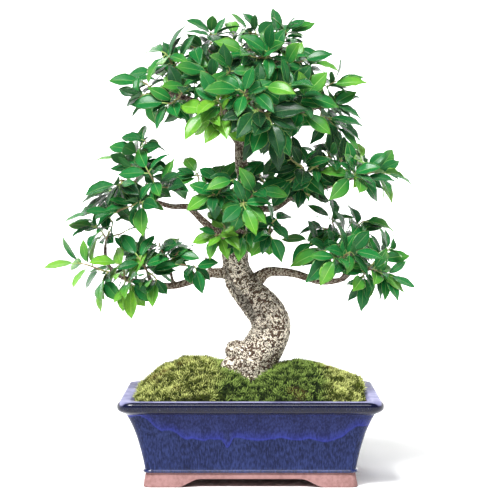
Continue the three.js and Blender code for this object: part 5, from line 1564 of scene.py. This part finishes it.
def leaf_mesh(settings, kind):
    """A leaf 1 long and 1 wide, arched along its length, folded at its midrib, with waved edges."""
    noise.seed_set(LEAF_SEED + kind)
    fold = settings.fold * pick(FOLDS, noise.random())
    wave = settings.wave * pick(WAVES, noise.random())
    waves = pick(WAVE_COUNTS, noise.random())
    phase = 2 * math.pi * noise.random()
    bend = SIDE_BEND * (noise.random() - 0.5)
    twist = TWIST * (noise.random() - 0.5)

    def stalk_place(v, under):
        """How far to the side and up a point of the stalk lies."""
        angle = math.pi * (1.5 + 0.5 * v) if under else math.pi * (0.5 - 0.5 * v)
        return STALK_HALF_WIDTH * math.cos(angle), STALK_HALF_HEIGHT * math.sin(angle)

    def blade_place(v, under, blade):
        """How far to the side and up a point of the blade lies."""
        half = max(blade_half(blade), STALK_HALF_WIDTH)
        y = half * v
        height = fold * (abs(v) * half) + wave * v * v * math.sin(2 * math.pi * waves * blade + phase + v)
        height += twist * y * (blade - 0.3)
        thin = settings.thickness * (1 - 0.7 * abs(v))
        rib = math.exp(-(y / 0.03) ** 2) * (1 - 0.8 * blade)
        height += -thin / 2 - 0.012 * rib if under else thin / 2 - 0.003 * rib
        return y, height

    shares = [(share, 0.0) for share in STALK_SHARES]
    shares += [(PETIOLE_SHARE + (1 - PETIOLE_SHARE) * blade, blade) for blade in BLADE_SHARES]
    points = []
    maps = []
    lines = len(LEAF_TOPS) + len(LEAF_UNDERS)
    for share, blade in shares:
        turn = LEAF_ARCH * share
        up = Vector((math.sin(turn), 0, math.cos(turn)))
        for index, v in enumerate(LEAF_TOPS + LEAF_UNDERS):
            under = index >= len(LEAF_TOPS)
            y, height = stalk_place(v, under) if blade == 0.0 else blade_place(v, under, blade)
            points.append(arched(share, bend) + Vector((0, y, 0)) + up * height)
            maps.append((share, 0.5 + 0.5 * v))
    faces = []
    for i in range(len(shares) - 1):
        for j in range(lines):
            near = i * lines + j
            far = i * lines + (j + 1) % lines
            faces.append((near, near + lines, far + lines, far))
    tip = len(points)
    last = tip - lines
    points.append(arched(1, bend))
    maps.append((1.0, 0.5))
    faces += [(last + j, tip, last + (j + 1) % lines) for j in range(lines)]
    faces.append(tuple(range(lines)))
    mesh = mesh_of("leaf", points, faces)
    layer = mesh.uv_layers.new(name="leaf_map")
    for loop in mesh.loops:
        layer.data[loop.index].uv = maps[loop.vertex_index]
    store(mesh, "below", [float(i % lines >= len(LEAF_TOPS)) for i in range(len(points))])
    shade_smooth(mesh)
    return mesh


def leaf_turn(leaf):
    """The leaf's frame as a matrix: along, across and up."""
    across = leaf["face"].cross(leaf["heading"])
    return Matrix((leaf["heading"], across, leaf["face"])).transposed()


def leaf_size(leaf):
    """The leaf's scales, which carry the standard arch to its own."""
    arch = leaf["arch"]
    length = leaf["length"]
    reach = (math.sin(arch) / arch) / (math.sin(LEAF_ARCH) / LEAF_ARCH)
    drop = ((1 - math.cos(arch)) / arch) / ((1 - math.cos(LEAF_ARCH)) / LEAF_ARCH)
    return Vector((length * reach, length * leaf["width"], length * drop))


def leaf_tip(leaf):
    """Where a planned leaf ends."""
    arch = leaf["arch"]
    radius = leaf["length"] / arch
    ahead = leaf["heading"] * radius * math.sin(arch)
    down = leaf["face"] * radius * (1 - math.cos(arch))
    return leaf["root"] + ahead - down


def leaf_skin(leaf, variants):
    """The leaf's own points and faces, for seeing what it would cross, without its stalk."""
    points, faces = variants[leaf["kind"]]
    scaled = points * np.array(leaf_size(leaf))
    return scaled @ np.array(leaf_turn(leaf)).T + np.array(leaf["root"]), faces


class Crowd:
    """The leaves already placed, and whether a new one would cross them."""

    def __init__(self, wood):
        self.wood = wood
        self.placed = []
        self.lows = np.zeros((0, 3))
        self.highs = np.zeros((0, 3))
        middle = np.array(POT_MIDDLE)
        self.box = [(np.array(corner) - middle) / MILLIMETRE for corner in PACKED_BOX]

    def admits(self, leaf, variants, packed):
        """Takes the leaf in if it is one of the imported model's, or crosses nothing and shuts no gap."""
        points, faces = leaf_skin(leaf, variants)
        low, high = points.min(0), points.max(0)
        if not packed and (self.outside(low, high) or self.shuts_gap(points)):
            return False
        tree = BVHTree.FromPolygons(points.tolist(), faces)
        if not packed:
            near = np.nonzero(np.all((self.lows < high) & (self.highs > low), axis=1))[0]
            if tree.overlap(self.wood) or any(tree.overlap(self.placed[i]) for i in near):
                return False
        self.placed.append(tree)
        self.lows = np.vstack([self.lows, low])
        self.highs = np.vstack([self.highs, high])
        return True

    def outside(self, low, high):
        """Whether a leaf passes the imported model's box."""
        return np.any(low < self.box[0]) or np.any(high > self.box[1])

    def shuts_gap(self, points):
        """Whether a leaf shows in one of the openings of the tree's front."""
        x = points[:, 0]
        z = points[:, 2]
        return any(
            np.any((x > left) & (x < right) & (z > bottom) & (z < top)) for left, right, bottom, top in GAPS
        )


def spray_carrier(name, shoots, tone):
    """A mesh of edges along the shoots and a loose point for each leaf, with what the leaves need."""
    points = []
    edges = []
    thickness = []
    for curve, leaves in shoots:
        first = len(points)
        root = curve_point(curve, 0) - curve_way(curve, 0) * STEM_OVERLAP
        line = [root] + [curve_point(curve, i / STEM_STEPS) for i in range(STEM_STEPS + 1)]
        points += [placed(point) for point in line]
        edges += [(first + i, first + i + 1) for i in range(len(line) - 1)]
        tapers = [0] + [SHOOT_TAPER * i / STEM_STEPS for i in range(STEM_STEPS + 1)]
        thickness += [SHOOT_RADIUS * (1 - taper) * MILLIMETRE for taper in tapers]
    leaves = [leaf for curve, group in shoots for leaf in group]
    stems = [0] * len(points)
    points += [placed(leaf["root"]) for leaf in leaves]
    mesh = bpy.data.meshes.new(name)
    mesh.from_pydata(points, edges, [])
    turns = [value for leaf in leaves for value in leaf_turn(leaf).to_euler()]
    sizes = [value for leaf in leaves for value in leaf_size(leaf) * MILLIMETRE]
    store(mesh, "thick", thickness + [0] * len(leaves))
    store(mesh, "leaf", stems + [1] * len(leaves), "BOOLEAN")
    store(mesh, "kind", stems + [leaf["kind"] for leaf in leaves], "INT")
    store(mesh, "tint", stems + [leaf_tint(leaf, tone) for leaf in leaves])
    store(mesh, "draw", stems + [leaf["draw"] for leaf in leaves])
    store(mesh, "turn", 3 * stems + turns, "FLOAT_VECTOR")
    store(mesh, "size", 3 * stems + sizes, "FLOAT_VECTOR")
    return mesh


def leaf_tint(leaf, tone):
    """From 0, an old dark leaf, to 1, a young pale one."""
    tint = TONE_TINTS[tone] + 0.5 * (leaf["draw"] - 0.5) + 0.2 * (0.5 - leaf["age"])
    return min(max(tint, 0.0), 1.0)


def spray_group():
    """Geometry Nodes: green stems along the edges, and a leaf on each loose point."""
    kinds = {f"Leaf {number}": "NodeSocketObject" for number in range(LEAF_KINDS)}
    graph, given = new_group("Leafy spray", {
        **kinds, "Stem": "NodeSocketMaterial", "Blade": "NodeSocketMaterial", "Sides": "NodeSocketInt",
    })

    def named(label, kind):
        """What the carrier's points hold under a name."""
        return graph.first("GeometryNodeInputNamedAttribute", {"Name": label}, data_type=kind)

    stem = graph.first("GeometryNodeCurveToMesh", {
        "Curve": graph.first("GeometryNodeMeshToCurve", {"Mesh": given["Geometry"]}),
        "Profile Curve": graph.first("GeometryNodeCurvePrimitiveCircle", {
            "Resolution": given["Sides"], "Radius": 1.0,
        }),
        "Scale": named("thick", "FLOAT"),
        "Fill Caps": True,
    })
    stem = graph.painted(graph.first("GeometryNodeSetShadeSmooth", {0: stem}), given["Stem"])
    leaves = []
    for label in kinds:
        leaf = graph.node("GeometryNodeObjectInfo", {"Object": given[label], "As Instance": True})
        leaves.append(leaf.outputs["Geometry"])
    hung = graph.first("GeometryNodeInstanceOnPoints", {
        "Points": graph.first("GeometryNodeMeshToPoints", {
            "Mesh": given["Geometry"], "Selection": named("leaf", "BOOLEAN"),
        }),
        "Instance": graph.joined(*leaves),
        "Pick Instance": True,
        "Instance Index": named("kind", "INT"),
        "Rotation": graph.first("FunctionNodeEulerToRotation", {0: named("turn", "FLOAT_VECTOR")}),
        "Scale": named("size", "FLOAT_VECTOR"),
    })
    blades = graph.painted(graph.first("GeometryNodeRealizeInstances", {0: hung}), given["Blade"])
    graph.node("NodeGroupOutput", {0: graph.joined(stem, blades)})
    return graph.tree


def leaf_finish(settings):
    """Glossy leaf with a pale midrib and margin, fine side veins and a tint of its own."""
    finish = Finish("Leaf blade")
    u, v = finish.split(finish.map)[:2]
    tint = finish.field("tint")
    draw = finish.field("draw")
    below = finish.field("below")
    across = abs(v * 2 - 1)
    cloud = finish.noise(finish.place, 60, 3, 0.6)
    mottle = finish.noise(finish.place, 320, 3, 0.6)

    older = finish.ease(tint, 0.05, 0.5)
    younger = finish.ease(tint + 0.25 * (u - 0.5) + 0.15 * (cloud - 0.5), 0.55, 0.95)
    brighter = finish.ease(mottle + 0.4 * (draw - 0.5), 0.35, 0.8) * 0.4
    blade = finish.mixed(older, settings.dark, settings.green)
    blade = finish.mixed(younger, blade, settings.young)
    blade = finish.mixed(brighter, blade, settings.bright)

    vein = finish.ease(finish.math("SINE", (u - 0.32 * across) * SIDE_VEINS), 0.75, 1.0)
    vein = vein * finish.ease(across, 0.04, 0.12) * finish.fade(across, 0.75, 0.98)
    midrib = finish.fade(across, 0.01, 0.06)
    margin = finish.ease(across + 0.03 * (mottle - 0.5), 0.9, 0.97)
    stalk = finish.fade(u, PETIOLE_SHARE - 0.01, PETIOLE_SHARE + 0.02)
    colour = finish.mixed(vein * 0.14, blade, settings.vein)
    colour = finish.mixed(below * 0.55, colour, settings.underside)
    colour = finish.mixed(midrib * (0.12 + 0.4 * draw), colour, settings.vein)
    colour = finish.mixed(margin * (0.35 + 0.35 * draw), colour, settings.vein)
    colour = finish.mixed(stalk * 0.8, colour, settings.stalk)
    finish.surface(
        Base_Color=colour, Roughness=0.2 + 0.3 * below + 0.1 * mottle, Specular_IOR_Level=0.24,
    )
    finish.relief(mottle * 0.25 - vein * 0.5 - midrib * 0.6 + cloud * 0.4, 0.0005, 0.6)
    return finish.material


def stem_finish(settings):
    """Green shoot that turns brown in places."""
    finish = Finish("Green shoot")
    cloud = finish.noise(finish.place, 130, 3, 0.6)
    fine = finish.noise(finish.place, 900, 3, 0.6)
    colour = finish.mixed(finish.ease(cloud, 0.35, 0.68), settings.shoot_brown, settings.shoot)
    finish.surface(Base_Color=colour, Roughness=0.5 + 0.2 * fine)
    finish.relief(fine, 0.0003)
    return finish.material


class LeafSettings(bpy.types.PropertyGroup):
    green: colour_setting("Leaf green", "Grown leaves", 3, 92, 40)
    bright: colour_setting("Bright green", "Lighter mottling of the leaves", 14, 118, 42)
    young: colour_setting("Young leaf", "Young leaves at the tips", 104, 156, 40)
    dark: colour_setting("Dark leaf", "Old leaves", 3, 50, 27)
    vein: colour_setting("Vein", "Midrib, side veins and margin", 158, 198, 108)
    underside: colour_setting("Underside", "Back of the leaves", 58, 118, 62)
    stalk: colour_setting("Leaf stalk", "Stalks of the leaves", 150, 176, 96)
    shoot: colour_setting("Shoot", "Green shoots", 140, 150, 84)
    shoot_brown: colour_setting("Shoot brown", "Ripening bark of the shoots", 128, 98, 76)
    more_leaves: count_setting("More leaves", "Most leaves added to each shoot's planned ones", 3, 0, 20)
    trials: count_setting("Trials", "Places tried for the added leaves of a shoot", 22, 0, 100)
    seed: count_setting("Seed", "Seed of the added leaves", 907, 0, 9999)
    fold: number_setting("Fold", "Slope of a leaf's halves", 0.1, 0, 0.5)
    wave: number_setting("Wave", "Waving of a leaf's edges", 0.012, 0, 0.05)
    thickness: number_setting("Thickness", "Thickness as a share of length", 0.011, 0.002, 0.03)


class BONSAI_OT_sprays(bpy.types.Operator):
    """Grows the leafy sprays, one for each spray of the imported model"""

    bl_idname = "bonsai.sprays"
    bl_label = "Leafy sprays"

    def execute(self, context):
        settings = context.scene.bonsai_leaf
        kinds = [new_object(f"leaf_kind_{kind}", leaf_mesh(settings, kind)) for kind in range(LEAF_KINDS)]
        variants = []
        for kind in kinds:
            points = columns(kind.data, "co")
            faces = [tuple(face.vertices) for face in kind.data.polygons]
            blade = [face for face in faces if points[list(face), 0].min() > 0.9 * PETIOLE_SHARE]
            variants.append((points, blade))
        chosen = self.choose(settings, variants)
        group = spray_group()
        given = {f"Leaf {number}": kind for number, kind in enumerate(kinds)}
        given.update({"Stem": stem_finish(settings), "Blade": leaf_finish(settings), "Sides": STEM_SIDES})
        for row, shoots in zip(SPRAYS, chosen):
            name, tone = row[0], row[2]
            mesh = grown_by(spray_carrier(name, shoots, tone), group, given)
            finished(f"spray_{name}", mesh, TONE_SLOTS[tone], f"leaves_{name}")
        for kind in kinds:
            bpy.data.objects.remove(kind)
        return {"FINISHED"}

    def choose(self, settings, variants):
        """Each spray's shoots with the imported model's leaves, and more wherever they cross nothing."""
        crowd = Crowd(BVHTree.FromPolygons(*self.skin("trunk_and_branches")))
        planned = []
        for owner, row in enumerate(SPRAYS):
            stream = random_stream(owner + 1)
            packed = BVHTree.FromPolygons(*self.skin(f"leaves_{row[0]}"))
            shoots = []
            planned_shoots = plan_spray(row)[1]
            planned_shoots += extra_shoots(row, [curve for curve, shoot in planned_shoots])
            for curve, shoot in planned_shoots:
                leaves = shoot_leaves(curve, shoot, stream)
                for leaf in leaves:
                    leaf["packed"] = packed.find_nearest(leaf_tip(leaf))[3] < PACKED_GAP
                shoots.append((curve, leaves, []))
            planned.append(shoots)
        for wanted in (True, False):
            for shoots in planned:
                for curve, leaves, kept in shoots:
                    for leaf in leaves:
                        if leaf["packed"] == wanted and crowd.admits(leaf, variants, wanted):
                            kept.append(leaf)
        extra = random_stream(settings.seed)
        for row, shoots in zip(SPRAYS, planned):
            for (curve, leaves, kept), shoot in zip(shoots, [*row[4], *EXTRA_SHOOTS.get(row[0], [])]):
                wanted = len(leaves) + settings.more_leaves
                for trial in range(settings.trials):
                    leaf = side_leaf(curve, shoot[6], extra)
                    if len(kept) < wanted and crowd.admits(leaf, variants, False):
                        kept.append(leaf)
        return [[(curve, kept) for curve, leaves, kept in shoots] for shoots in planned]

    def skin(self, node):
        """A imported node's points, in the drawing's millimetres, and its triangles."""
        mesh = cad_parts[node].data
        points = [(vertex.co - POT_MIDDLE) / MILLIMETRE for vertex in mesh.vertices]
        return points, [tuple(face.vertices) for face in mesh.polygons]


# Stage

class StageSettings(bpy.types.PropertyGroup):
    floor: colour_setting("Floor", "Floor and backdrop", 250, 250, 250)
    lens: number_setting("Lens", "Focal length on a 36 mm sensor, in millimetres", 138.72, 20, 400)
    distance: length_setting("Distance", "From the camera to the tree", 2.0971, 0.5, 10)
    eye_height: length_setting("Eye height", "Height of the camera", 0.3379, 0, 3)
    tilt: angle_setting("Tilt", "How far the camera looks down", 2.477, 80)
    aside: length_setting("Aside", "How far the camera stands to the right", -0.00054, -1, 1)
    sky: number_setting("Sky", "Strength of the light from all sides", 0.18, 0, 5)
    key: number_setting("Key light", "Strength of the main light", 6.2, 0, 20)
    key_softness: angle_setting("Key softness", "Angle of the main light in the sky", 22, 180)
    fill: number_setting("Fill light", "Strength of the side light", 1.4, 0, 20)
    fill_softness: angle_setting("Fill softness", "Angle of the side light in the sky", 26, 180)


# The floor runs out to the sides and the back, then bends up: sizes in metres
FLOOR_REACH = 20.0
BACK_DISTANCE = 3.0
BACK_BEND = 1.0
BACK_TOP = 5.0
BEND_STEPS = 12
PALE_GREY = (0.8, 0.8, 0.8, 1.0)
# Where the lights shine from
KEY_FROM = (-0.4, -0.65, 1.0)
FILL_FROM = (0.1, -0.75, 0.85)
SENSOR_WIDTH = 36


def floor_finish(settings):
    """Plain pale paint."""
    finish = Finish("Pale floor")
    grain = finish.noise(finish.place, 30, 3, 0.5)
    colour = finish.mixed(grain * 0.03, settings.floor, PALE_GREY)
    finish.surface(Base_Color=colour, Roughness=0.9, Specular_IOR_Level=0.1)
    return finish.material


def floor_mesh():
    """A floor that bends up into a backdrop."""
    profile = [(-FLOOR_REACH, 0)]
    for step in range(BEND_STEPS + 1):
        angle = math.radians(90 * step / BEND_STEPS)
        back = BACK_DISTANCE + BACK_BEND * math.sin(angle)
        profile.append((back, BACK_BEND * (1 - math.cos(angle))))
    profile.append((BACK_DISTANCE + BACK_BEND, BACK_TOP))
    points = [(x, y, z) for x in (-FLOOR_REACH, FLOOR_REACH) for y, z in profile]
    count = len(profile)
    faces = [(i, i + count, i + count + 1, i + 1) for i in range(count - 1)]
    mesh = mesh_of("floor", points, faces)
    shade_smooth(mesh)
    return mesh


def add_sun(name, strength, softness, way_from):
    """A distant light, as wide in the sky as its softness."""
    light = bpy.data.lights.new(name, "SUN")
    light.energy = strength
    light.angle = softness
    new_object(name, light).rotation_euler = (-Vector(way_from)).to_track_quat("-Z", "Y").to_euler()


def add_camera(settings):
    """A camera in front of the pot that looks slightly down."""
    lens = bpy.data.cameras.new("camera")
    lens.sensor_width = SENSOR_WIDTH
    lens.lens = settings.lens
    camera = new_object("camera", lens)
    camera.location = POT_MIDDLE + Vector((settings.aside, -settings.distance, settings.eye_height))
    camera.rotation_euler = (math.pi / 2 - settings.tilt, 0, 0)
    return camera


class BONSAI_OT_stage(bpy.types.Operator):
    """Sets the pale floor, the soft lights and the camera"""

    bl_idname = "bonsai.stage"
    bl_label = "Stage"

    def execute(self, context):
        settings = context.scene.bonsai_stage
        mesh = floor_mesh()
        mesh.materials.append(floor_finish(settings))
        new_object("floor", mesh)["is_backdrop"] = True
        world = bpy.data.worlds.new("Pale room")
        world.use_nodes = True
        background = world.node_tree.nodes["Background"]
        background.inputs["Color"].default_value = (1, 1, 1, 1)
        background.inputs["Strength"].default_value = settings.sky
        context.scene.world = world
        add_sun("key", settings.key, settings.key_softness, KEY_FROM)
        add_sun("fill", settings.fill, settings.fill_softness, FILL_FROM)
        context.scene.camera = add_camera(settings)
        context.scene.view_settings.view_transform = "Standard"
        return {"FINISHED"}


class BONSAI_PT_panel(bpy.types.Panel):
    """Lists the bonsai's pieces in the sidebar"""

    bl_idname = "BONSAI_PT_panel"
    bl_label = "Ficus bonsai"
    bl_space_type = "VIEW_3D"
    bl_region_type = "UI"
    bl_category = "Bonsai"

    def draw(self, context):
        for operator, name, group in PIECES:
            box = self.layout.box()
            box.operator(operator.bl_idname)
            for setting in group.__annotations__:
                box.prop(getattr(context.scene, name), setting)


PIECES = [
    (BONSAI_OT_pot, "bonsai_pot", PotSettings),
    (BONSAI_OT_soil, "bonsai_soil", SoilSettings),
    (BONSAI_OT_moss, "bonsai_moss", MossSettings),
    (BONSAI_OT_wood, "bonsai_wood", WoodSettings),
    (BONSAI_OT_sprays, "bonsai_leaf", LeafSettings),
    (BONSAI_OT_stage, "bonsai_stage", StageSettings),
]


def register():
    for operator, name, group in PIECES:
        bpy.utils.register_class(group)
        setattr(bpy.types.Scene, name, PointerProperty(type=group))
        bpy.utils.register_class(operator)
    bpy.utils.register_class(BONSAI_PT_panel)


def unregister():
    bpy.utils.unregister_class(BONSAI_PT_panel)
    for operator, name, group in reversed(PIECES):
        bpy.utils.unregister_class(operator)
        delattr(bpy.types.Scene, name)
        bpy.utils.unregister_class(group)


def main():
    register()
    bpy.ops.bonsai.pot()
    bpy.ops.bonsai.soil()
    bpy.ops.bonsai.moss()
    bpy.ops.bonsai.wood()
    bpy.ops.bonsai.sprays()
    bpy.ops.bonsai.stage()
    for label, (low, high) in (("cad", PACKED_BOX), ("visual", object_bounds())):
        list(low)
        list(high)


if __name__ == "__main__":
    main()
